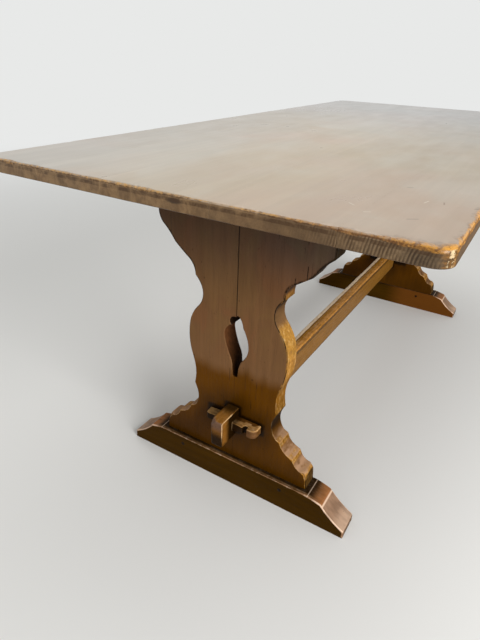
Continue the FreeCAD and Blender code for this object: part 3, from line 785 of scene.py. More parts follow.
def top_rim(low, high, left_is_free, right_is_free):
    """The rim of a top board, counter-clockwise: the right side (low Y), the far end, the left
    side and the near end. Free sides meet the ends in round corners; seams meet them square."""
    lines, inwards, free = [], [], []
    x0, x1, y0, y1 = low.x, high.x, low.y, high.y
    corner = TOP_CORNER_RADIUS
    angles = np.linspace(0, math.pi / 2, CORNER_POINTS)

    def add(line, inward, is_free):
        lines.append(line)
        inwards.append(np.broadcast_to(inward, line.shape))
        free.append(np.full(len(line), float(is_free)))

    for turn, side_free in ((0, right_is_free), (1, left_is_free)):
        flip = -1 if turn else 1
        start, stop = (x1, x0) if turn else (x0, x1)
        side, other = (y1, y0) if turn else (y0, y1)
        other_free = left_is_free if not turn else right_is_free
        reach = flip * corner
        gap = corner if side_free else SIDE_GAP
        add(run((start + flip * gap, side), (stop - flip * gap, side), SIDE_STEP), [0, flip], side_free)
        if side_free:
            centre = np.array((stop - reach, side + reach))
            arc = centre + reach * np.column_stack([np.sin(angles), -np.cos(angles)])
            add(arc, (centre - arc) / corner, True)
        first = side + reach if side_free else side
        last = other - reach if other_free else other
        end_line = np.vstack([run((stop, first), (stop, last), END_STEP), [(stop, last)]])
        add(end_line[1:] if side_free else end_line, [-flip, 0], True)
        if other_free:
            centre = np.array((stop - reach, other - reach))
            arc = centre + reach * np.column_stack([np.cos(angles), np.sin(angles)])[1:-1]
            add(arc, (centre - arc) / corner, True)
    return np.vstack(lines), np.vstack(inwards).astype(float), np.concatenate(free)


def chipped(u, v, seed):
    """Zero nearly everywhere, up to one in short chips: the tops of two sets of waves."""
    return np.clip(waves(u, v, 0.017, seed) * 2.2 + waves(u, v, 0.11, seed + 1) - 0.9, 0, 1)


def saw_ridges(line, rise):
    """Upright ridges on the sawn ends, deeper toward the right, and faint waves on the sides."""
    across = line[:, 1]
    slant = rise * RIDGE_SLANT
    phase = (across + slant) * math.tau / RIDGE_PITCH + FLUTTER * waves(across, 0 * rise, 0.06, 31)
    phase = phase + TREMBLE * waves(across, rise, 0.017, 33)
    strength = 0.25 + 0.75 * np.clip((-0.16 - across) / 0.14, 0, 1)
    strength = strength * np.clip(0.62 + 0.55 * waves(across, rise, 0.028, 32), 0.12, 1.0)
    return -RIDGE_DEPTH * strength * (0.5 + 0.5 * np.sin(phase)) ** 0.7


def dress_top_board(number):
    name = f"top_board_{number}"
    low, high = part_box(name)
    line, inward, free = top_rim(low, high, number == 1, number == TOP_BOARDS)
    end_grain = np.abs(inward[:, 0])
    u, v = line.T
    handled = np.exp(-np.hypot(u + TOP_HANDLED_CORNER[0], v + TOP_HANDLED_CORNER[1]) / HANDLED_REACH)
    uneven = 1 + 0.22 * waves(u, v, 0.12, 40) + 0.16 * waves(u, v, 0.023, 41)
    worn = TOP_ARRIS * uneven + CHIP_DEPTH * chipped(u, v, 42) + HANDLED_DEPTH * handled
    upper = np.where(free > 0, worn, TOP_SEAM_RADIUS)
    lower = np.where(free > 0, TOP_LOWER_ARRIS * (1 + 0.3 * waves(u, v, 0.05, 43)), TOP_SEAM_RADIUS)
    rubbed = np.clip(0.5 + 0.5 * waves(u, v, 0.2, 44) + 1.2 * handled, 0, 1) * free
    rim = Rim(line, inward, lower, upper, rubbed, end_grain * free)

    def ridged(row, rise):
        return saw_ridges(row, rise) * end_grain

    part = slab([rim], low.z, high.z, ridged, uneven=0.25 * MM, gap=16 * MM, number=number)
    return stand_for(make_piece(f"{name}_worn", [part], [0, 1, 2]), name)


top_boards = [dress_top_board(number) for number in range(1, TOP_BOARDS + 1)]
print([len(piece.data.vertices) for piece in top_boards], "points in the top boards")

# %% [markdown]
# ## The stretcher
#
# The rail and its two tenons are three slabs in one mesh, seen from the side, so that the wedge's
# mortise is simply a hole in the tenon's outline. People rest their feet on the rail, so its upper
# arrises are rubbed rounder than the lower ones, and unevenly along its length.

# %% Stretcher
BOARD_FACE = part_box("near_trestle_left_board")[0].x
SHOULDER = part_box("near_trestle_left_board")[1].x
TENON_ARRIS = 2.8 * MM
RAIL_ARRIS = 5.0 * MM
TENON_BREAK, TENON_BREAK_WAY = 8.5 * MM, (0.58, -0.60, 0.55)
SHOULDER_RADIUS, PLANE_DEPTH = 0.3 * MM, 0.2 * MM
TIP_LENGTH, TIP_ROUNDING = 16 * MM, 3.0 * MM


def rectangle(left, right, low, high):
    return np.array([(left, low), (right, low), (right, high), (left, high)])


def rail_radius(line, bend):
    """Rounder above than below, uneven along the rail, nearly sharp at the shoulders."""
    height, along = line.T
    above = np.clip((height - height.min()) / np.ptp(height), 0, 1)
    rubbed = 1 + 0.25 * waves(along, height * 0, 0.3, 51) + 0.12 * waves(along, height * 0, 0.05, 52)
    free = np.abs(along) < -SHOULDER - CLEAR
    worn = np.where(free, RAIL_ARRIS * (0.6 + 0.5 * above) * rubbed, SHOULDER_RADIUS)
    return worn, worn * np.where(above > 0.5, 1.15, 1.0), np.where(free, 0.35 + 0.5 * above, 0)


def tenon_radius(line, bend):
    height, along = line.T
    free = along < BOARD_FACE + CLEAR
    uneven = TENON_ARRIS * (1 + 0.3 * waves(along, height, 0.04, 53))
    worn = np.where(free, uneven + 0.8 * MM * bulging(bend), 0.4 * MM)
    tip = np.clip(1 - (along - along.min()) / TIP_LENGTH, 0, 1)
    return worn, worn + TIP_ROUNDING * tip, np.where(free, 0.4 + 0.5 * tip, 0)


def planed(line, rise):
    """Long shallow waves left by a plane, a fifth of a millimetre deep."""
    return -PLANE_DEPTH * (1 + waves(line[:, 1] * 0.15, rise, 0.03, 54)) / 2


def dress_stretcher():
    low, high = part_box("stretcher")
    side_view = counter_clockwise(rectangle(low.z, high.z, SHOULDER, -SHOULDER))
    rail = worn_rim(side_view, 4 * MM, rail_radius, (0, 1), 1 * MM)
    parts = [slab([rail], low.y, high.y, planed, uneven=0.4 * MM, gap=14 * MM, number=RAIL_NUMBER)]
    places = np.array([vertex.co[:] for vertex in nodes["stretcher"].data.vertices])
    tenon = places[places[:, 0] < BOARD_FACE - 10 * MM]
    bottom, top = tenon[:, 2].min(), tenon[:, 2].max()
    left, right = tenon[:, 1].min(), tenon[:, 1].max()
    hole = tenon[np.abs(tenon[:, 2] - np.median(tenon[:, 2])) < 12 * MM]
    outline = counter_clockwise(rectangle(bottom, top, low.x, SHOULDER + 1 * MM))
    mortise = rectangle(hole[:, 2].min(), hole[:, 2].max(), hole[:, 0].min(), BOARD_FACE + 2 * MM)
    rims = [worn_rim(outline, 1.5 * MM, tenon_radius, (0, 1), 3.2 * MM)]
    rims.append(worn_rim(counter_clockwise(mortise)[::-1], 1.5 * MM, tight, (0, 1), 0.4 * MM))
    for turned in (False, True):
        places, faces, values = slab(rims, left, right, planed, uneven=0.2 * MM, number=TENON_NUMBER + turned)
        places = break_corner(places, (top, low.x, right), TENON_BREAK_WAY, TENON_BREAK)
        if turned:
            places = places * (1, -1, -1)
        parts.append((places, faces, values))
    return stand_for(make_piece("stretcher_worn", parts, [1, 2, 0]), "stretcher")


stretcher = dress_stretcher()
print(len(stretcher.data.vertices), "points in the stretcher")

# %% [markdown]
# ## The wedges
#
# A wedge is hammered in and out for years, so its arrises are broken all round. Its plan comes
# from the underside of the CAD solid, moved out by that solid's chamfer, and its top falls toward
# the thin end as the real one does.

# %% Wedges
WEDGE_CHAMFER = 1.2 * MM
WEDGE_ARRIS = 2.4 * MM
WEDGE_FALL = 5.0 * MM


def wedge_radius(line, bend):
    uneven = 1 + 0.25 * waves(line[:, 0], line[:, 1], 0.02, 61)
    worn = WEDGE_ARRIS * uneven + 0.5 * MM * bulging(bend)
    radius = np.where(line[:, 0] < BOARD_FACE - CLEAR, worn, TIGHT_RADIUS)
    radius = average_along(radius, 1 * MM, 1 * MM)
    return radius, radius, np.clip(radius / WEDGE_ARRIS - 0.3, 0, 1)


def dress_wedge(end):
    name = f"{end}_wedge"
    low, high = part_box(name)
    turned = end == "far"
    plan = face_outlines(name, 2, low.z)[0] * (-1 if turned else 1)
    line = even_steps(counter_clockwise(plan), 0.5 * MM)
    line = line + outward(line) * np.where(line[:, 0] < BOARD_FACE - 0.1 * MM, WEDGE_CHAMFER, 0)[:, None]
    line[:, 0] = np.minimum(line[:, 0], BOARD_FACE)
    rim = worn_rim(line, 1 * MM, wedge_radius, (0, 1), 0.6 * MM)
    settings = {"uneven": 0.3 * MM, "gap": 6 * MM, "number": WEDGE_NUMBER + turned}
    places, faces, values = slab([rim], low.z, high.z, foot_saw_marks, **settings)
    thin_end = places[:, 1].max()
    share = np.clip(places[:, 1] / thin_end, 0, 1) * (places[:, 2] - low.z) / (high.z - low.z)
    places[:, 2] -= WEDGE_FALL * share
    piece = make_piece(f"{name}_worn", [(places, faces, values)], [0, 1, 2], turned)
    return stand_for(piece, name, name)


wedges = [dress_wedge(end) for end in ENDS]
print([len(piece.data.vertices) for piece in wedges], "points in the wedges")

# %% [markdown]
# ## Bearers, pegs and screws
#
# These keep their CAD solids. The solids come in as loose triangles, so three modifiers finish
# them: Weld joins the triangles, Decimate removes the lines inside flat faces, and Bevel rounds the
# arrises that are left.

# %% Softened CAD solids
SOLID_ARRISES = {"bearer": 2.5 * MM, "foot_pegs": 0.6 * MM, "top_screws": 0.25 * MM,
                 "bearer_screws": 0.25 * MM}
WELD_REACH, LEVEL_WITHIN, SHARP_OVER = 0.02 * MM, math.radians(0.5), math.radians(38)


def soften(name, width):
    piece = nodes[name]
    weld = piece.modifiers.new("joined", "WELD")
    weld.merge_threshold = WELD_REACH
    flat = piece.modifiers.new("flat_faces", "DECIMATE")
    flat.decimate_type = "DISSOLVE"
    flat.angle_limit = LEVEL_WITHIN
    bevel = piece.modifiers.new("broken_arris", "BEVEL")
    bevel.width = width
    bevel.segments = 2
    bevel.limit_method = "ANGLE"
    bevel.angle_limit = SHARP_OVER
    bevel.harden_normals = True


for end in ENDS:
    for kind, arris in SOLID_ARRISES.items():
        soften(f"{end}_{kind}", arris)
print("softened bearers, pegs and screws at both ends")

# %% [markdown]
# ## Shared effects: figure, rubbing and marks
#
# All the oak here shares the same make-up: tone streaks along the grain, short dark pores, soft
# blotches where the finish has aged unevenly, bare wood where edges are rubbed, and small splits,
# dents and scuffs. Each effect is a node group, built once, so that every finish below can use it
# with its own values. Dark shade in corners and recesses is painted later, by each finish.

# %% Node group helpers
VALUE, VECTOR = "NodeSocketFloat", "NodeSocketVector"


def new_group(name, inputs, outputs):
    """An empty node group with its sockets; returns it with its inputs as wires."""
    group = bpy.data.node_groups.new(name, "ShaderNodeTree")
    for label, kind in inputs.items():
        group.interface.new_socket(name=label, in_out="INPUT", socket_type=kind)
    for label in outputs:
        group.interface.new_socket(name=label, in_out="OUTPUT", socket_type=VALUE)
    given = group.nodes.new("NodeGroupInput").outputs
    return group, {label: Wire(given[label]) for label in inputs}


def close_group(group, **results):
    end = group.nodes.new("NodeGroupOutput")
    for label, wire in results.items():
        connect(wire, end.inputs[label])
    return group


def use_group(tree, group, **inputs):
    node = shader_node(tree, "ShaderNodeGroup", inputs, node_tree=group)
    return {part.name: Wire(part) for part in node.outputs}


def attribute(tree, name):
    return output(tree, "ShaderNodeAttribute", which="Fac", attribute_name=name)


print("kinds of group sockets:", VALUE, VECTOR)

# %% Oak figure
WARP_DEPTH = 0.05
PORE_SHARE = (0.53, 0.70)
RIB_HEIGHT, PORE_DEPTH = 0.7, 0.45


def make_figure_group():
    """Oak figure. The grain runs along X of the vector, which is in metres. Streaks are long noise,
    bent by a slow warp; pores are short fine dashes; mottle is soft blotches."""
    inputs = {"Vector": VECTOR, "Board": VALUE, "Coarseness": VALUE}
    group, given = new_group("oak_figure", inputs, ("Streaks", "Pores", "Mottle", "Height"))
    board = given["Board"]
    place = vectors("ADD", given["Vector"], joined(board * 3.71, board * 1.93, board * 5.37))
    bent = (noise(place, (1.3, 5, 5), 2.0) - 0.5) * WARP_DEPTH
    warped = vectors("ADD", place, joined(y=bent, z=bent))
    streaks = noise(scaled(warped, given["Coarseness"]), (1.6, 62, 62), 5.0, 0.62)
    pores = ease(noise(warped, (24, 620, 620), 2.0), *PORE_SHARE)
    mottle = noise(place, (3.2, 9, 9), 3.0, 0.55, 0.6, shift=(4.1, 2.3, 0.7))
    ribs = noise(warped, (5, 260, 260), 3.0, 0.6)
    height = ribs * RIB_HEIGHT - pores * PORE_DEPTH
    return close_group(group, Streaks=streaks, Pores=pores, Mottle=mottle, Height=height)


FIGURE = make_figure_group()
print("oak figure:", len(FIGURE.nodes), "nodes")

# %% Rubbed arrises
BARE_UNTIL, RIM_UNTIL = (0.55, 1.15), (1.0, 2.0)


def make_rubbing_group():
    """Rubbed arrises. Arris is the distance from it in metres, above zero on the face. The mask is
    one on the arris and fades over the width, which noise makes uneven; fray gives it a torn rim."""
    inputs = {"Vector": VECTOR, "Arris": VALUE, "Rubbed": VALUE, "Width": VALUE}
    group, given = new_group("rubbed_arris", inputs, ("Bare", "Rim"))
    rubbed, width = given["Rubbed"], given["Width"]
    patches = noise(given["Vector"], (22, 22, 22), 3.0, 0.6)
    fray = noise(given["Vector"], (240, 240, 240), 3.0, 0.6)
    uneven = ease(patches, 0.36, 0.66) * rubbed
    reach = width * (uneven * 1.7 + (rubbed * 0.6 + 0.01))
    away = (abs(given["Arris"]) + (fray - 0.5) * width) / reach
    reached = ease(rubbed, 0.02, 0.15)
    return close_group(group, Bare=fade(away, *BARE_UNTIL) * reached, Rim=fade(away, *RIM_UNTIL) * reached)


RUBBING = make_rubbing_group()
print("rubbed arris:", len(RUBBING.nodes), "nodes")

# %% Splits, dents and scuffs
SPLIT_TOPS, SPLIT_PLACES, DENT_TOPS = (0.70, 0.76), (0.52, 0.62), (0.71, 0.78)


def make_marks_group():
    """Small damage: Splits are rare hairlines along X of the vector, Dents are round, Scuffs are a
    fine cloud. Each is noise, cut off near its top so that little of it is left."""
    group, given = new_group("small_marks", {"Vector": VECTOR, "Board": VALUE}, ("Splits", "Dents", "Scuffs"))
    place = vectors("ADD", given["Vector"], joined(given["Board"], given["Board"] * 2.3))
    lines = noise(place, (16, 420, 420), 1.0, 0.4)
    where = noise(place, (7, 26, 26), 1.0, shift=(0, 5, 0))
    splits = ease(lines, *SPLIT_TOPS) * ease(where, *SPLIT_PLACES)
    dents = ease(noise(place, (90, 130, 130), 1.5, shift=(9, 0, 0)), *DENT_TOPS)
    scuffs = noise(place, (60, 150, 150), 6.0, 0.72, shift=(0, 0, 3))
    return close_group(group, Splits=splits, Dents=dents, Scuffs=scuffs)


MARKS = make_marks_group()
print("small marks:", len(MARKS.nodes), "nodes")

# %% [markdown]
# ## The frame's finish
#
# The trestles, feet, stretcher and bearers are stained under old wax. Their colour is painted by
# height: smoky and darker near the top for a grey sheen and the shade under the top, a dark amber
# low down for warm light thrown up from a brown floor, and darker still at the foot as painted
# shade. The sawn edges on the outside are rubbed to gold. The grain runs the long way of each
# piece, so the same recipe is made once for each direction, and a few numbers say how worn that
# piece is.

# %% Colours as shades
def join_to_shader(surface, colour, roughness, height, depth):
    connect(colour, surface.inputs["Base Color"])
    connect(roughness, surface.inputs["Roughness"])
    bump = {"Height": height, "Distance": depth, "Strength": 1.0}
    connect(output(height.tree, "ShaderNodeBump", bump), surface.inputs["Normal"])


def shaded(colour, *shades):
    """The colour made darker or lighter by a product of plain numbers."""
    product = shades[0]
    for shade in shades[1:]:
        product = product * shade
    return scaled(colour[:3] if isinstance(colour, tuple) else colour, product)


def figured(colour, figure, contrast, pore_contrast=0.30):
    """Streaks, mottle and pores as shades of one colour."""
    streaks = ease(figure["Streaks"], 0.30, 0.70, 1 - 0.22 * contrast, 1 + 0.18 * contrast)
    mottle = ease(figure["Mottle"], 0.28, 0.72, 1 - 0.26 * contrast, 1 + 0.26 * contrast)
    pores = ease(figure["Pores"], 0.0, 1.0, 1.0, 1 - pore_contrast * contrast)
    return shaded(colour, streaks, mottle, pores)


def clouded(colour, cloud):
    return shaded(colour, ease(cloud, 0.3, 0.7, 0.75, 1.15))


def was_rubbed(tree):
    return ease(attribute(tree, "rubbed"), 0.02, 0.10)


print("a colour may be shaded by", shaded.__name__, figured.__name__, "or", clouded.__name__)

# %% Frame oak
ALONG_X, ALONG_Y, ALONG_Z = (0, 0, 0), (0, 0, -math.pi / 2), (0, math.pi / 2, 0)
# low is painted amber light from the floor, high a painted grey sheen with the shade under the top; the
# darkest colour serves both dirt and painted shade.
FRAME_COLOURS = {"low": paint(106, 64, 0), "middle": paint(136, 100, 66), "high": paint(104, 84, 68),
                 "bare": paint(208, 148, 56), "pale": paint(228, 184, 124), "grime": paint(20, 9, 0)}
# Heights over which the painted light changes: from the amber floor light to brown, from brown to
# the smoky sheen and shade under the top, and out of the painted shade near the floor.
AMBER_UNTIL, BROWN_UNTIL, FLOOR_SHADE_UNTIL = (0.305, 0.345), (0.48, 0.70), (0.07, 0.20)
RUBBED_WIDTH, SAWN_EDGE = 0.0022, (-0.0035, 0.0)
FRAME_GLOSS, FRAME_RELIEF = (0.28, 0.46), 0.0004


def frame_oak(name, grain_turn, colours=FRAME_COLOURS, contrast=0.6, number=None, edge_gold=1.0,
              top_bare_and_lit=0.0, gloss=0.08, dull_edge=0.0, own_wear_and_light=None):
    """Stained oak under wax. grain_turn turns object coordinates so that X runs with the grain. A
    number is given for the CAD solids, which carry no marks of wear. The colour is painted by height
    with light and shade. edge_gold says how bare the sawn edge is, top_bare_and_lit how bare the surfaces are
    that face up and how much painted light from above they get, dull_edge how rough the sawn edge
    stays, and age adds the wear, painted light and painted shade that only this piece has."""
    material, tree, surface, place = start_material(name, gloss)
    along = stretch(place, turn=grain_turn)
    board = attribute(tree, "board_number") if number is None else float(number)
    figure = use_group(tree, FIGURE, Vector=along, Board=board, Coarseness=1.4)
    marks = use_group(tree, MARKS, Vector=along, Board=board)
    scuffs, grime = marks["Scuffs"], colours["grime"]
    rise = parts_of(place)[2] + ease(figure["Mottle"], 0.2, 0.8, -0.02, 0.02)
    # Painted light by height: amber low down for warm light from the floor, smoky and darker high up for a
    # grey sheen and the shade under the top.
    colour = blend_colours(ease(rise, *AMBER_UNTIL), colours["low"], colours["middle"])
    colour = blend_colours(ease(rise, *BROWN_UNTIL), colour, colours["high"])
    colour = figured(colour, figure, contrast)
    # Painted shade toward the floor.
    colour = darken(colour, fade(rise, *FLOOR_SHADE_UNTIL, 0.5), grime)
    if number is None:
        arris, rubbed = attribute(tree, "arris_distance"), attribute(tree, "rubbed")
        rubbing = use_group(tree, RUBBING, Vector=place, Arris=arris, Rubbed=rubbed, Width=RUBBED_WIDTH)
        edge = fade(arris, *SAWN_EDGE)
        facing = upward_part(tree)
        worn_edge_and_lit_top = edge * ease(rubbed, 0.05, 0.6, 0.0, edge_gold)
        # Surfaces that face up are painted paler: partly bare wood, partly painted light from above.
        upward_lit = ease(facing, 0.3, 0.9, 0.0, top_bare_and_lit) * ease(rubbed, 0.05, 0.4)
        worn_edge_and_lit_top = larger(worn_edge_and_lit_top, upward_lit) * ease(scuffs, 0.34, 0.60, 0.35, 0.9)
        bare = larger(rubbing["Bare"] * 0.75, worn_edge_and_lit_top)
        golden = blend_colours(ease(scuffs, 0.5, 0.66), colours["bare"], colours["pale"])
        colour = blend_colours(bare, colour, figured(golden, figure, contrast))
        # Painted shade on sawn edges that no hand reached, as in the opening and under the top, and on sawn
        # edges that face down.
        unrubbed_shade = edge * fade(rubbed, 0.0, 0.12, 0.8)
        downward_shade = edge * fade(facing, -0.55, -0.1, 0.75)
        colour = darken(colour, larger(unrubbed_shade, downward_shade), grime)
        colour = darken(colour, attribute(tree, "hollow") * 0.4, grime)
    if own_wear_and_light:
        colour = own_wear_and_light(tree, colour, place, scuffs, colours)
    damage = larger(marks["Splits"], marks["Dents"] * 0.4)
    colour = darken(colour, damage, grime)
    roughness = ease(scuffs, 0.3, 0.7, *FRAME_GLOSS)
    if dull_edge:
        roughness = larger(roughness, edge * dull_edge)
    join_to_shader(surface, colour, roughness, figure["Height"] - damage, FRAME_RELIEF)
    return material


print("frame colours:", ", ".join(FRAME_COLOURS))

# %% [markdown]
# ## What only some pieces have
#
# The trestle boards show their seam and three short splits, with painted shade along their upper
# arrises, under the top and in the opening, painted highlights on the toes, and a painted shadow
# round the tenon. The feet have a painted shadow line where the boards stand on them and a painted
# lit inner face, and their slopes are scuffed pale and painted with sheen and highlights. The
# stretcher's tenons are painted nearly black with shade at the foot of the end and beside the
# boards and lit at the top of the end, and its far upper arris is worn pale, with a painted
# highlight.
# Each mask is a formula on the place in metres. A pair of numbers gives the places where it starts
# and is full, and the far end of the table is the near one after a half turn.

# %% Places on the pieces
TENON_SECTION = (-0.014, 0.017, 0.159, 0.227)
WEDGE_SECTION = (-0.074, 0.062, 0.181, 0.203)
TENON_CORNER = (0.709, 0.01725, 0.227)


def beyond_box(across, rise, section):
    """How far a point is outside a rectangle (low Y, high Y, low Z, high Z), in metres."""
    low_y, high_y, low_z, high_z = section
    out_y = abs(across - (low_y + high_y) / 2) - (high_y - low_y) / 2
    out_z = abs(rise - (low_z + high_z) / 2) - (high_z - low_z) / 2
    return length_of(joined(larger(out_y, 0.0), larger(out_z, 0.0)))


def as_at_near_end(along, across):
    """The Y coordinate at the near end, and the same place's at the far one after a half turn."""
    return across * sign(along * -1.0)


def as_at_far_end(along, across):
    return across * sign(along)


def wandering(scuffs, width):
    """A wavering of up to half this width, either way."""
    return (scuffs - 0.5) * width


print("the tenon's corner is at", TENON_CORNER)

# %% Marks and painted shade of the trestle boards
# The toes' pale colour is a painted highlight, and the opening's wall darkens to painted shade at its foot.
TOE_PALE = paint(176, 138, 106)
PIERCING_WALL, PIERCING_FLOOR = paint(118, 74, 42), paint(50, 26, 4)
# The grey tint high up on one side is a painted sheen.
OLIVE_TINT, RED_TINT, SHEEN_GREY_TINT = (1.03, 1.07, 1.02, 1), (1.06, 0.98, 0.98, 1), (0.82, 0.92, 1.08, 1)
CLOUDY_ABOVE, SHEEN_GREY_ABOVE, SHEEN_GREY_SIDE = (0.33, 0.42), (0.54, 0.64), (-0.09, 0.0)
SEAM_HALF, SEAM_SOFT, SEAM_DARK_ABOVE = 0.0006, 0.0007, (0.33, 0.50)
# For each split: its place across the trestle, and its lower and upper end.
SPLITS = ((-0.1460, 0.575, 0.604), (-0.1232, 0.560, 0.575), (0.1100, 0.302, 0.327))
SPLIT_HALF, SPLIT_SOFT, SPLIT_TIP = 0.0005, 0.0008, 0.003
LINE_ABOVE, WIDER_ABOVE = (0.27, 0.33), (0.48, 0.56)
LINE_CORE, LINE_REACH = (0.0008, 0.0020), (0.0022, 0.0060)
NOSE_BELOW, BEAK_ABOVE, PALE_LINE = (0.117, 0.125), (0.555, 0.615), (0.127, 0.22)
SMOKY_EDGE_ABOVE, TOE_BELOW = (0.44, 0.52), (0.24, 0.29)
PIERCING_SIDE, PIERCING_EDGE = (0.052, 0.060), 0.05
PIERCING_ABOVE, PIERCING_LIGHT, PIERCING_LOBE = (0.25, 0.28), (0.34, 0.44), (0.430, 0.437)
# How far the painted shadow round the tenon and the wedge reaches.
TIGHT_SHADOW, WIDE_SHADOW = (0.003, 0.020), (0.004, 0.07)


def boards_marks_and_shade(tree, colour, place, scuffs, colours):
    along, across, rise = parts_of(place)
    toward, grime = as_at_near_end(along, across), colours["grime"]
    drift = noise(place, (1, 13, 9), 3.0, 0.5, 0.8, shift=(0, 3, 1))
    above = ease(rise, *CLOUDY_ABOVE)
    colour = blend_colours(ease(drift, 0.50, 0.60) * above, colour, OLIVE_TINT, "MULTIPLY")
    colour = blend_colours(fade(drift, 0.38, 0.48) * above, colour, RED_TINT, "MULTIPLY")
    # Painted grey sheen high up on one side.
    sheen_greyed = ease(rise, *SHEEN_GREY_ABOVE) * fade(toward, *SHEEN_GREY_SIDE)
    colour = blend_colours(sheen_greyed, colour, SHEEN_GREY_TINT, "MULTIPLY")
    seam = band(across, -SEAM_HALF, SEAM_HALF, SEAM_SOFT)
    colour = darken(colour, seam * ease(rise, *SEAM_DARK_ABOVE, 0.25, 0.85), grime)
    for middle, low, high in SPLITS:
        bent = across + wandering(scuffs, 0.004)
        split = band(bent, middle - SPLIT_HALF, middle + SPLIT_HALF, SPLIT_SOFT)
        colour = darken(colour, split * band(rise, low, high, SPLIT_TIP) * 0.9, grime)
    colour = line_arrises(tree, colour, across, rise, noise(place, (160, 160, 60), 3.0, 0.6), colours)
    colour = light_and_shade_toes(tree, colour, place, grime)
    colour = darken_piercing(tree, colour, place, grime)
    # Painted shadow round the tenon and the wedge, as cast on the board.
    away = smaller(beyond_box(toward, rise, TENON_SECTION), beyond_box(toward, rise, WEDGE_SECTION))
    away = away + wandering(scuffs, 0.012)
    return darken(colour, larger(fade(away, *TIGHT_SHADOW, 0.97), fade(away, *WIDE_SHADOW, 0.55)), grime)


def line_arrises(tree, colour, across, rise, crumbs, colours):
    """A crumbling dark line of painted shade along the arrises higher up, at the toe's nose and under
    the top, and a pale line lower down that is a painted highlight.
    """
    arris, grime = attribute(tree, "arris_distance"), colours["grime"]
    above = ease(rise, *LINE_ABOVE)
    line = fade(abs(arris), ease(rise, *WIDER_ABOVE, *LINE_CORE), ease(rise, *WIDER_ABOVE, *LINE_REACH), 0.95)
    line = line * larger(was_rubbed(tree), ease(abs(across), *PIERCING_SIDE) * above)
    colour = darken(colour, line * (ease(crumbs, 0.38, 0.50, 0.4, 1.0) * above), grime)
    colour = darken(colour, line * fade(rise, *NOSE_BELOW, 0.85), grime)
    colour = darken(colour, fade(arris, -0.0010, 0.0005, 0.93) * ease(rise, *BEAK_ABOVE), grime)
    pale_line = line * ease(crumbs, 0.44, 0.60, 0.1, 0.9) * band(rise, *PALE_LINE, 0.012)
    return blend_colours(pale_line, colour, colours["pale"])


def light_and_shade_toes(tree, colour, place, grime):
    """Sawn edges: painted shade high up, and low down a painted pale highlight where they face up and painted
    shade where they don't.
    """
    along, _, rise = parts_of(place)
    facing = upward_part(tree)
    sawn = fade(attribute(tree, "arris_distance"), 0.0004, 0.0020)
    colour = darken(colour, sawn * ease(rise, *SMOKY_EDGE_ABOVE, 0.0, 0.45), grime)
    toe = sawn * fade(rise, *TOE_BELOW) * was_rubbed(tree)
    highlight_patches = noise(place, (40, 70, 70), 2.0, shift=(0, 0, 2))
    lit = ease(facing, 0.30, 0.75) * ease(highlight_patches, 0.34, 0.60, 0.25, 0.9) * ease(along, -0.5, 0.5, 1.0, 0.4)
    colour = blend_colours(toe * lit, colour, TOE_PALE)
    return darken(colour, toe * fade(facing, 0.05, 0.45, 0.88), grime)


def darken_piercing(tree, colour, place, grime):
    """The wall of the pierced opening: brown, with painted shade that grows darker toward its foot and is
    black in the upper lobe.
    """
    _, across, rise = parts_of(place)
    wall = fade(attribute(tree, "arris_distance"), -0.0012, 0.0)
    wall = wall * band(across, -PIERCING_EDGE, PIERCING_EDGE, 0.004) * ease(rise, *PIERCING_ABOVE)
    wall_colour = blend_colours(ease(rise, *PIERCING_LIGHT), PIERCING_FLOOR, PIERCING_WALL)
    crumbs = noise(place, (160, 160, 60), 3.0, 0.6)
    colour = blend_colours(wall, colour, clouded(wall_colour, crumbs))
    return darken(colour, wall * ease(rise, *PIERCING_LOBE, 0.0, 0.94), grime)


print(len(SPLITS), "splits in each trestle")

# %% Wear and painted light of the feet
# The hollow and slope colours are scuffed wood with a painted sheen; the inside colour is painted light on
# the inner face.
FOOT_KNEE, FOOT_HOLLOW, FOOT_SLOPE = 0.2440, paint(158, 104, 62), paint(152, 120, 96)
FOOT_INSIDE_LIT = paint(140, 84, 34)
FOOT_TOP, BOARD_LEDGE = (0.070, 0.074), (0.592, 0.6445)
INNER_FACE, INNER_SIDE = (0.5932, 0.5945), (-0.10, 0.0)
SLOPE_FROM, SLOPE_FULL, TIP_FROM = (0.205, 0.24), (0.205, 0.226), (0.262, 0.294)
KNEE_HALF, KNEE_LINE_HALF, BROW = 0.004, 0.0008, (0.2068, 0.2074)


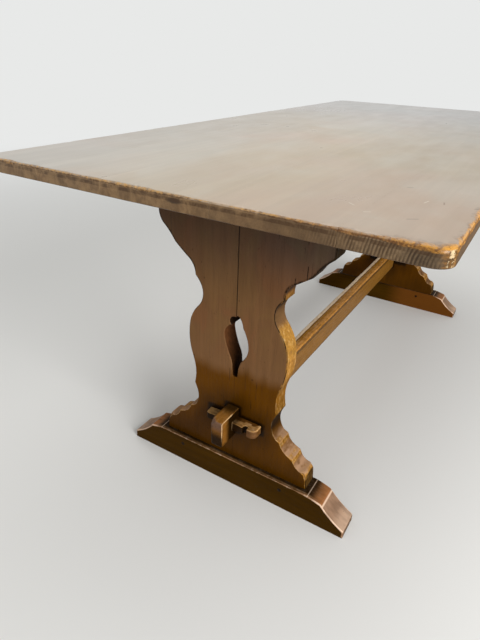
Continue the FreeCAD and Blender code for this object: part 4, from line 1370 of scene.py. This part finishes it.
def feet_wear_and_light(tree, colour, place, scuffs, colours):
    along, across, rise = parts_of(place)
    outside, out, pale = abs(along), abs(across), colours["pale"]
    # Painted shadow line where the boards stand on the foot.
    ledge = ease(rise, *FOOT_TOP) * band(outside, *BOARD_LEDGE, 0.005)
    colour = darken(colour, ledge * 0.85, colours["grime"])
    # The inner face is painted lighter on one side, as light that reaches it.
    inner = fade(outside, *INNER_FACE) * fade(as_at_far_end(along, across), *INNER_SIDE, 0.55)
    colour = blend_colours(inner, colour, FOOT_INSIDE_LIT)
    # Slopes that face up are scuffed pale and painted with sheen.
    slope, facing = ease(out, *SLOPE_FROM), upward_part(tree)
    smooth = noise(place, (60, 30, 30), 2.0)
    upward_lit = slope * ease(facing, 0.15, 0.6)
    skin = blend_colours(ease(out, FOOT_KNEE - KNEE_HALF, FOOT_KNEE + KNEE_HALF), FOOT_HOLLOW, FOOT_SLOPE)
    skin = blend_colours(ease(out, *TIP_FROM, 0.0, 0.32), skin, pale)
    colour = blend_colours(upward_lit * ease(out, *SLOPE_FULL, 0.0, 0.92), colour, clouded(skin, smooth))
    # Painted highlight lines along the slope's arrises, its knee and its brow.
    line = fade(abs(attribute(tree, "arris_distance")), 0.0010, 0.0038) * ease(smooth, 0.34, 0.52, 0.35, 1.0)
    line = line * (slope * ease(facing, 0.0, 0.5))
    knee = band(out, FOOT_KNEE - KNEE_LINE_HALF, FOOT_KNEE + KNEE_LINE_HALF, 0.0014) * (upward_lit * 0.7)
    colour = blend_colours(larger(line, knee), colour, pale)
    return blend_colours(band(out, *BROW, 0.0012) * ease(facing, 0.3, 0.6, 0.0, 0.45), colour, pale)


print("the feet's slopes start", SLOPE_FROM[0], "m from the middle")

# %% Wear and painted light of the stretcher
# The tenon's end colour is painted light, for the lit upper part of its end.
TENON_BROWN, TENON_END_LIT = paint(142, 96, 48), paint(128, 102, 88)
RAIL_SIDE, RAIL_PALE, RAIL_GOLD = paint(146, 106, 52), paint(226, 202, 170), paint(206, 146, 76)
TENON_FROM, TENON_TOP, TENON_FOOT = (0.630, 0.640), (0.2245, 0.2265), (0.158, 0.175)
# Reaches of painted shade beside the boards and at the foot of the tenon's end, and of the painted highlight
# on its worn arris.
TOP_SHADE_UNTIL, SIDE_SHADE_UNTIL, OUT_OF_RAIL = (0.650, 0.684), (0.676, 0.698), (0.596, 0.600)
END_FACE, END_LIT_ABOVE, END_SHADED_BELOW = (0.7045, 0.7075), (0.196, 0.216), (0.182, 0.206)
HIGHLIGHT_SIDE, HIGHLIGHT_FROM, HIGHLIGHT_ABOVE = (-0.011, -0.013), (0.662, 0.672), (0.17, 0.20)
CORNER_REACH, RAIL_UNTIL, RAIL_SIDE_BELOW = (0.010, 0.015), (0.594, 0.596), (0.226, 0.2295)
RAIL_TOP, RAIL_FOOT, NEAR_SIDE = (0.220, 0.228), (0.156, 0.163), (-0.0195, -0.0185)
# Strips along the top of the rail, across it, and the dark line of painted shade under its arris.
GOLD_STRIP, DARK_STRIP, PALE_STRIP = (-0.0090, -0.0030), (0.0036, 0.0052), (0.0075, 0.0240)
UNDER_ARRIS = (0.2180, 0.2268)


def stretcher_wear_and_shade(tree, colour, place, scuffs, colours):
    along, across, rise = parts_of(place)
    outside, toward, grime = abs(along), as_at_near_end(along, across), colours["grime"]
    streaks = noise(place, (14, 200, 200), 2.0)
    tenon = ease(outside, *TENON_FROM)
    colour = blend_colours(tenon * 0.65, colour, clouded(TENON_BROWN, streaks))
    # Painted shade on the tenon beside the boards.
    wavy = outside + wandering(scuffs, 0.012)
    on_top = ease(rise, *TENON_TOP)
    side_dirt = (1.0 - on_top) * fade(wavy, *SIDE_SHADE_UNTIL, 0.97)
    dirt = larger(on_top * fade(wavy, *TOP_SHADE_UNTIL, 0.9), side_dirt) * ease(outside, *OUT_OF_RAIL)
    # The tenon's end is painted lit above and shaded below, and the tenon darker at its foot.
    at_end = ease(outside, *END_FACE)
    colour = blend_colours(at_end * ease(rise, *END_LIT_ABOVE, 0.0, 0.8), colour, TENON_END_LIT)
    dirt = larger(dirt, at_end * ease(rise, *END_SHADED_BELOW, 0.93, 0.1))
    colour = darken(colour, larger(dirt, tenon * fade(rise, *TENON_FOOT, 0.5)), grime)
    # Painted highlight on the worn right-hand arris of the tenon.
    worn_highlight = fade(abs(attribute(tree, "arris_distance")), 0.0006, 0.0026, 0.9) * ease(toward, *HIGHLIGHT_SIDE)
    worn_highlight = worn_highlight * ease(outside, *HIGHLIGHT_FROM) * ease(rise, *HIGHLIGHT_ABOVE)
    colour = blend_colours(worn_highlight * ease(scuffs, 0.32, 0.55, 0.35, 1.0), colour, colours["pale"])
    # Painted light on the tenon's rounded upper corner.
    offset = vectors("DISTANCE", joined(outside, toward, rise), TENON_CORNER, "Value")
    colour = blend_colours(fade(offset, *CORNER_REACH, 0.7), colour, TENON_END_LIT)
    rail = fade(outside, *RAIL_UNTIL)
    colour = blend_colours(fade(rise, *RAIL_SIDE_BELOW, 0.6) * rail, colour, clouded(RAIL_SIDE, streaks))
    return stripe_rail(colour, across, rise, rail, scuffs, streaks, grime)


def stripe_rail(colour, across, rise, rail, scuffs, streaks, grime):
    """The rail's top: worn gold with a painted highlight at its near arris, a dark line, then a pale
    strip, worn and with a painted highlight; painted shade under the near arris and at the rail's foot.
    """
    above = ease(rise, *RAIL_TOP) * rail
    wavy = across + wandering(scuffs, 0.004)
    gold = fade(wavy, *GOLD_STRIP, 0.8) * above * ease(scuffs, 0.38, 0.58, 0.35, 1.0)
    colour = blend_colours(gold, colour, clouded(RAIL_GOLD, streaks))
    under = band(rise + wandering(scuffs, 0.012), *UNDER_ARRIS, 0.0016) * rail * fade(across, *NEAR_SIDE, 0.6)
    colour = darken(colour, larger(under, fade(rise, *RAIL_FOOT, 0.7) * rail), grime)
    colour = darken(colour, band(wavy, *DARK_STRIP, 0.0012) * 0.6 * above, grime)
    strip = band(wavy, *PALE_STRIP, 0.0020) * ease(scuffs, 0.34, 0.52, 0.55, 1.0)
    return blend_colours(strip * above, colour, RAIL_PALE)


print("the rail has a gold, a dark and a pale strip")

# %% Painted light and shade of the wedges
# The end colour is painted light on the thick end's front; the pale one is the top, worn and painted lit from
# above.
WEDGE_END_LIT, WEDGE_PALE = paint(128, 92, 62), paint(176, 138, 88)
WEDGE_FRONT, THIN_END, THICK_SHADE_UNTIL = (0.655, 0.662), (-0.036, -0.024), (0.046, 0.054)
TENON_MIDDLE, TENON_SHADE = 0.001, (0.018, 0.030)
GROOVE, GROOVE_DEPTH = (0.0400, 0.0520), (0.6680, 0.6668)


def wedge_wear_and_light(tree, colour, place, scuffs, colours):
    """Painted shade at the tenon, in the groove and on the front of the thin end; the thick end's front
    is painted lit, and the upper face toward the thin end is paler, worn and painted lit from above."""
    along, across, rise = parts_of(place)
    to_thick_end, outside = as_at_far_end(along, across), abs(along)
    upper = ease(upward_part(tree), 0.40, 0.75)
    front = (1.0 - upper) * ease(outside, *WEDGE_FRONT)
    dirt = front * fade(to_thick_end, *THICK_SHADE_UNTIL, 0.88)
    above = upper * fade(abs(to_thick_end - TENON_MIDDLE), *TENON_SHADE, 0.75)
    groove = band(to_thick_end, *GROOVE, 0.0008) * ease(outside, *GROOVE_DEPTH, 0.0, 0.97)
    groove = groove * fade(attribute(tree, "arris_distance"), -0.0012, 0.0004)
    colour = blend_colours(front * 0.6, colour, clouded(WEDGE_END_LIT, scuffs))
    colour = blend_colours(upper * fade(to_thick_end, *THIN_END, 0.85), colour, clouded(WEDGE_PALE, scuffs))
    return darken(colour, larger(larger(dirt, above), groove), colours["grime"])


print("the wedges' grooves start", GROOVE[0], "m from their middle")

# %% The frame's oak on its pieces
FOOT_COLOURS = dict(FRAME_COLOURS, low=paint(98, 66, 12), bare=paint(184, 140, 104),
                    pale=paint(240, 208, 180))
STRETCHER_COLOURS = dict(FRAME_COLOURS, low=paint(138, 90, 10), bare=paint(200, 136, 42),
                         pale=paint(226, 188, 138))


def finish(pieces, material):
    for piece in pieces:
        piece.data.materials.append(material)


finish(trestle_boards, frame_oak("frame_oak_upright", ALONG_Z, contrast=0.36, dull_edge=0.85, own_wear_and_light=boards_marks_and_shade))
finish(feet, frame_oak("frame_oak_crosswise", ALONG_Y, FOOT_COLOURS, edge_gold=0.3, gloss=0.02, own_wear_and_light=feet_wear_and_light))
lengthwise_oak = frame_oak("frame_oak_lengthwise", ALONG_X, STRETCHER_COLOURS, edge_gold=0.1, top_bare_and_lit=0.6,
                           gloss=0.05, own_wear_and_light=stretcher_wear_and_shade)
finish([stretcher], lengthwise_oak)
print("frame oak on", len(trestle_boards) + len(feet) + 1, "pieces")

# %% [markdown]
# ## The wedges, pegs and bearers
#
# The wedges are of a paler offcut, with their thick ends painted lit and their fronts painted in
# shade, the pegs show their dark end grain, and the bearers, out of sight under the top, were
# hardly stained at all.

# %% Wedge, peg and bearer oak
WEDGE_COLOURS = dict(FRAME_COLOURS, low=paint(88, 54, 18), bare=paint(196, 148, 88),
                     pale=paint(214, 176, 130))
PEG_COLOURS = dict(FRAME_COLOURS, low=paint(34, 20, 8))
BEARER_COLOURS = dict(FRAME_COLOURS, high=paint(128, 98, 62))
PEG_NUMBER, BEARER_NUMBER = 50, 51


def dress(kind, material):
    """The material takes every slot of the CAD nodes of this kind at both ends."""
    for end in ENDS:
        mesh = nodes[f"{end}_{kind}"].data
        mesh.materials.clear()
        mesh.materials.append(material)


wedge_oak = frame_oak("wedge_oak", ALONG_Y, WEDGE_COLOURS, 0.9, edge_gold=0.15, top_bare_and_lit=0.65, gloss=0.04,
                      own_wear_and_light=wedge_wear_and_light)
peg_oak = frame_oak("peg_oak", ALONG_X, PEG_COLOURS, 1.0, PEG_NUMBER)
bearer_oak = frame_oak("bearer_oak", ALONG_Y, BEARER_COLOURS, 1.0, BEARER_NUMBER)
finish(wedges, wedge_oak)
dress("foot_pegs", peg_oak)
dress("bearer", bearer_oak)
print("wedges, pegs and bearers have their oak")

# %% [markdown]
# ## The top's finish
#
# The top has had the hardest life: its lacquer has dulled to a tan, painted greyer far off and on
# the left as a sheen, cloudy where plates and arms went, and it shines only at a low angle. The
# rubbed arris is golden, most of all round the near right corner, where it is orange with a painted
# highlight, and brown with old dirt where it was chipped. The sawn end is darker, with the saw's
# ridges showing, and the underside was never finished.

# %% The top's colours
# The far colour is a painted grey sheen, the orange partly a painted highlight and the cream a painted
# highlight.
TOP_COLOURS = {
    "body": paint(182, 164, 138), "rosy": paint(188, 164, 141), "cloud": paint(184, 177, 163),
    "far": paint(172, 174, 176), "bare": paint(196, 152, 92), "orange": paint(204, 144, 54),
    "tan": paint(160, 114, 62), "amber": paint(96, 58, 20), "edge": paint(148, 120, 84),
    "edge_deep": paint(92, 68, 42), "under": paint(112, 86, 58), "deep": paint(74, 48, 20),
    "ridge": paint(176, 148, 112), "side": paint(134, 92, 36), "cream": paint(240, 216, 170),
    "scratch": paint(216, 208, 190), "grime": paint(46, 30, 16)}
TOP_GLOSS, TOP_RELIEF = 0.35, 0.0002
print("top colours:", ", ".join(TOP_COLOURS))

# %% The top's face and its scratches
SHEEN_TO_FAR_END, SHEEN_TO_LEFT, DARK_TO_RIGHT = (-0.5, 0.7), (-0.15, 0.40), (-0.42, 0.10)
# For each scratch: its middle, half its length and width, its turn and its colour.
TOP_SCRATCHES = (
    (-0.7790, -0.3335, 0.0070, 0.0007, -0.915, "grime"),
    (-0.6770, -0.3945, 0.0045, 0.0009, -0.64, "grime"),
    (-0.6110, -0.2875, 0.0040, 0.0009, -1.05, "grime"),
    (-0.6770, -0.3510, 0.0060, 0.0008, 0.19, "amber"),
    (-0.7592, -0.2469, 0.0060, 0.0008, 0.883, "scratch"),
    (-0.7834, -0.2767, 0.0040, 0.0009, -1.015, "scratch"),
    (-0.6837, -0.3285, 0.0070, 0.0008, -0.2, "scratch"))


def top_face(place, figure, colours):
    """The dulled lacquer in clouds of tan and rose, painted greyer far off and on the left as a sheen.
    Returns the clouds too, because the gloss follows them."""
    along, across, _ = parts_of(place)
    clouds = noise(place, (2.6, 4.0, 1), 4.0, 0.6, 0.8, shift=(1.7, 0.4, 0))
    blush = noise(place, (1.7, 2.6, 1), 3.0, 0.5, 0.5, shift=(5.2, 3.4, 0))
    colour = blend_colours(ease(blush, 0.42, 0.64), colours["body"], colours["rosy"])
    colour = blend_colours(ease(clouds, 0.42, 0.68, 0, 0.6), colour, colours["cloud"])
    # Painted grey sheen far off and on the left.
    sheen_greyed = larger(ease(along, *SHEEN_TO_FAR_END, 0.0, 0.75), ease(across, *SHEEN_TO_LEFT, 0.0, 0.45))
    colour = figured(blend_colours(sheen_greyed, colour, colours["far"]), figure, 0.16, 0.0)
    shade = ease(across, *DARK_TO_RIGHT, 0.84, 1.08)
    return shaded(colour, shade, ease(clouds, 0.3, 0.7, 0.94, 1.05)), clouds


def scratched(colour, along, across, colours):
    """A few short scratches near the near right corner: middle, half length and width, turn."""
    for x, y, length, width, turn, kind in TOP_SCRATCHES:
        off_x, off_y = along - x, across - y
        cosine, sine = math.cos(turn), math.sin(turn)
        down = off_x * cosine + off_y * sine
        side = off_y * cosine - off_x * sine
        line = band(down, -length, length, 0.002) * band(side, -width, width, 0.0006)
        colour = blend_colours(line * 0.5, colour, colours[kind])
    return colour


print(len(TOP_SCRATCHES), "scratches on the top")

# %% The top's sawn edge
KNOT_PLACE, KNOT_SIZE = (-0.869, -0.030, 0.7525), (1.0, 0.015, 0.0045)
LONG_SIDE, PALE_TO_LEFT, RIDGES_BARE_UNTIL = (0.385, 0.396), (-0.30, 0.10), (-0.34, -0.22)
SHADE_TO_RIGHT, SHADE_AT_CORNER = (-0.40, -0.10), (-0.395, -0.34)


def on_long_side(tree, across):
    facing = parts_of(coordinates(tree, "Normal"))[1]
    return ease(abs(facing), 0.45, 0.85, 0.0, 0.75) * ease(abs(across), *LONG_SIDE)


def sawn_edge(tree, place, figure, patches, scuffs, long_side, colours):
    """The edge all round: blotched, with the saw's ridges rubbed pale, brown long sides, a knot."""
    across = parts_of(place)[1]
    pale = ease(patches, 0.34, 0.68, 0.15, 0.95) * ease(across, *PALE_TO_LEFT, 0.18, 1.0)
    edge = blend_colours(pale, colours["edge_deep"], colours["edge"])
    ridges = fade(attribute(tree, "hollow"), 0.1, 0.7) * ease(across, *RIDGES_BARE_UNTIL, 0.85, 0.12)
    edge = blend_colours(ridges * ease(scuffs, 0.35, 0.6, 0.5, 1.0), edge, colours["ridge"])
    edge = blend_colours(long_side, edge, figured(colours["side"], figure, 0.8))
    # The edge is painted darker toward the right and at the near right corner: less rubbed there, and in
    # painted shade.
    toward_corner = ease(across, *SHADE_AT_CORNER, 0.62, 1.0)
    edge = shaded(figured(edge, figure, 0.5), ease(across, *SHADE_TO_RIGHT, 0.56, 1.25), toward_corner)
    knot = vectors("DIVIDE", vectors("SUBTRACT", place, KNOT_PLACE), KNOT_SIZE)
    return blend_colours(fade(length_of(knot), 0.5, 1.2, 0.8), edge, colours["grime"])


print("the knot is at", KNOT_PLACE)

# %% The top's worn arris and corner
NEAR_RIGHT_CORNER, UPPER_ARRIS_HEIGHT = (-0.8572, -0.3987), (0.7545, 0.7572)
WIDER_TO_RIGHT, RUBBED_WIDTHS = (-0.39, -0.20), (0.0062, 0.0038)
ORANGE_UNTIL, ORANGE_TO_NEAR, TAN_UNTIL = (-0.395, -0.31), (-0.6, 0.6), (-0.30, -0.12)
LIP, CRACK, CRACK_TO_RIGHT = (0.7518, 0.7558), (0.7582, 0.7594), (-0.34, -0.10)
OVER_ARRIS, SOLID_GOLD = (-0.0022, -0.0006), (-0.0030, 0.0020)


def wear_and_highlight_arris(tree, colour, place, patches, colours):
    """The upper arris: a soiled brown rim round the bare wood and a brown line under its lip, gold where
    it is bare, orange with a painted highlight toward the near right corner, flecks of amber in the
    gold, and a cracked line."""
    along, across, rise = parts_of(place)
    arris, upper = attribute(tree, "arris_distance"), ease(rise, *UPPER_ARRIS_HEIGHT)
    rubbing = use_group(tree, RUBBING, Vector=place, Arris=arris, Rubbed=attribute(tree, "rubbed"),
                        Width=ease(across, *WIDER_TO_RIGHT, *RUBBED_WIDTHS))
    # Orange toward the near right corner: rubbed wood with a painted highlight.
    near_corner = fade(across, *ORANGE_UNTIL) * ease(along, *ORANGE_TO_NEAR, 1.0, 0.4)
    specks = noise(place, (150, 190, 190), 3.0, 0.6)
    flecks = noise(place, (110, 150, 240), 4.0, 0.65, shift=(0, 2, 0))
    brown = rubbing["Rim"] * upper * ease(arris, *OVER_ARRIS, 1.0, 0.3) * ease(specks, 0.40, 0.58, 0.3, 0.95)
    lip = band(rise, *LIP, 0.0012) * was_rubbed(tree)
    brown = larger(brown, lip * ease(patches, 0.40, 0.60, 0.75, 0.2))
    colour = blend_colours(brown, colour, colours["deep"])
    golden = blend_colours(fade(across, *TAN_UNTIL, 0.8), colours["bare"], colours["tan"])
    golden = blend_colours(near_corner, golden, colours["orange"])
    golden = blend_colours(ease(flecks, 0.46, 0.60, 0.05, 0.85), golden, colours["amber"])
    bare = rubbing["Bare"] * upper * ease(specks, 0.42, 0.58, 1.0, 0.45)
    colour = blend_colours(bare, colour, golden)
    solid = band(arris, *SOLID_GOLD, 0.0014) * ease(specks, 0.36, 0.56, 0.9, 0.5)
    colour = blend_colours(solid * near_corner * upper, colour, golden)
    cracked = band(rise, *CRACK, 0.0008) * ease(across, *CRACK_TO_RIGHT, 0.8, 0.15)
    cracked = cracked * was_rubbed(tree) * ease(patches, 0.36, 0.56, 1.0, 0.4)
    colour = blend_colours(cracked, colour, colours["amber"])
    return wear_and_highlight_corner(colour, along, across, arris, upper, specks, flecks, colours)


def wear_and_highlight_corner(colour, along, across, arris, upper, specks, flecks, colours):
    """The near right corner: orange on top with a painted highlight, brown with dark flecks below, and
    painted cream highlights on its upright edge.
    """
    away = length_of(joined(along - NEAR_RIGHT_CORNER[0], across - NEAR_RIGHT_CORNER[1]))
    flecked = blend_colours(ease(flecks, 0.50, 0.62, 0.0, 0.7), colours["orange"], colours["amber"])
    colour = blend_colours(fade(away, 0.007, 0.018, 0.85) * upper, colour, flecked)
    below = fade(arris, *OVER_ARRIS)
    side = shaded(colours["side"], ease(flecks, 0.35, 0.60, 1.3, 0.35))
    colour = blend_colours(fade(away, 0.004, 0.018, 0.8) * below, colour, side)
    # Painted cream highlights on the corner's upright edge.
    corner_highlight = fade(away, 0.002, 0.008, 0.75) * ease(specks, 0.51, 0.59)
    return blend_colours(corner_highlight * below, colour, colours["cream"])


print("the worn corner is at", NEAR_RIGHT_CORNER)

# %% Top oak
LOWER_ARRIS_HEIGHT, FACE_FROM = (0.7375, 0.7385), (-0.0030, -0.0008)
CLOUDS_SHARE, DULLED_SHARE = 0.6, 0.4


def top_oak(name, colours):
    """The lacquered face, the sawn edge and the bare underside, joined at the arrises."""
    material, tree, surface, place = start_material(name, TOP_GLOSS)
    along, across, rise = parts_of(place)
    board = attribute(tree, "board_number")
    figure = use_group(tree, FIGURE, Vector=place, Board=board, Coarseness=1.0)
    scuffs = use_group(tree, MARKS, Vector=place, Board=board)["Scuffs"]
    patches = noise(place, (1, 44, 40), 5.0, 0.66, 0.4, shift=(0, 0.7, 0))
    long_side = on_long_side(tree, across)
    edge = sawn_edge(tree, place, figure, patches, scuffs, long_side, colours)
    lower = blend_colours(ease(rise, *LOWER_ARRIS_HEIGHT), figured(colours["under"], figure, 0.8), edge)
    face, clouds = top_face(place, figure, colours)
    on_face = ease(rise, *UPPER_ARRIS_HEIGHT) * ease(attribute(tree, "arris_distance"), *FACE_FROM)
    colour = blend_colours(on_face, lower, face)
    colour = wear_and_highlight_arris(tree, colour, place, patches, colours)
    colour = scratched(colour, along, across, colours)
    dulled = noise(place, (12, 20, 1), 3.0, shift=(3.3, 0.8, 0))
    worn = clouds * CLOUDS_SHARE + dulled * DULLED_SHARE
    roughness = larger(ease(worn, 0.35, 0.65, 0.27, 0.42), long_side)
    join_to_shader(surface, colour, roughness, figure["Streaks"], TOP_RELIEF)
    return material


finish(top_boards, top_oak("top_oak", TOP_COLOURS))
print("top oak on", len(top_boards), "boards")

# %% [markdown]
# ## The screws
#
# Plain steel screws hold the bearers. Nobody polishes them, so they are dull and brownish grey.

# %% Screw steel
STEEL, RUST = paint(150, 148, 144), paint(96, 74, 56)
STEEL_GLOSS, STEEL_RELIEF = 0.5, 0.00008


def screw_steel():
    material, _, surface, place = start_material("dull_steel", STEEL_GLOSS)
    cloud = noise(place, (300, 300, 300), 4.0, 0.6)
    patches = ease(noise(place, (90, 90, 90), 3.0, 0.6), 0.5, 0.7)
    colour = blend_colours(patches * 0.7, STEEL, RUST)
    connect(ease(patches, 0, 1, 0.9, 0.4), surface.inputs["Metallic"])
    join_to_shader(surface, colour, ease(cloud, 0.3, 0.7, 0.38, 0.62), cloud, STEEL_RELIEF)
    return material


steel = screw_steel()
dress("top_screws", steel)
dress("bearer_screws", steel)
print("steel on the screws at both ends")
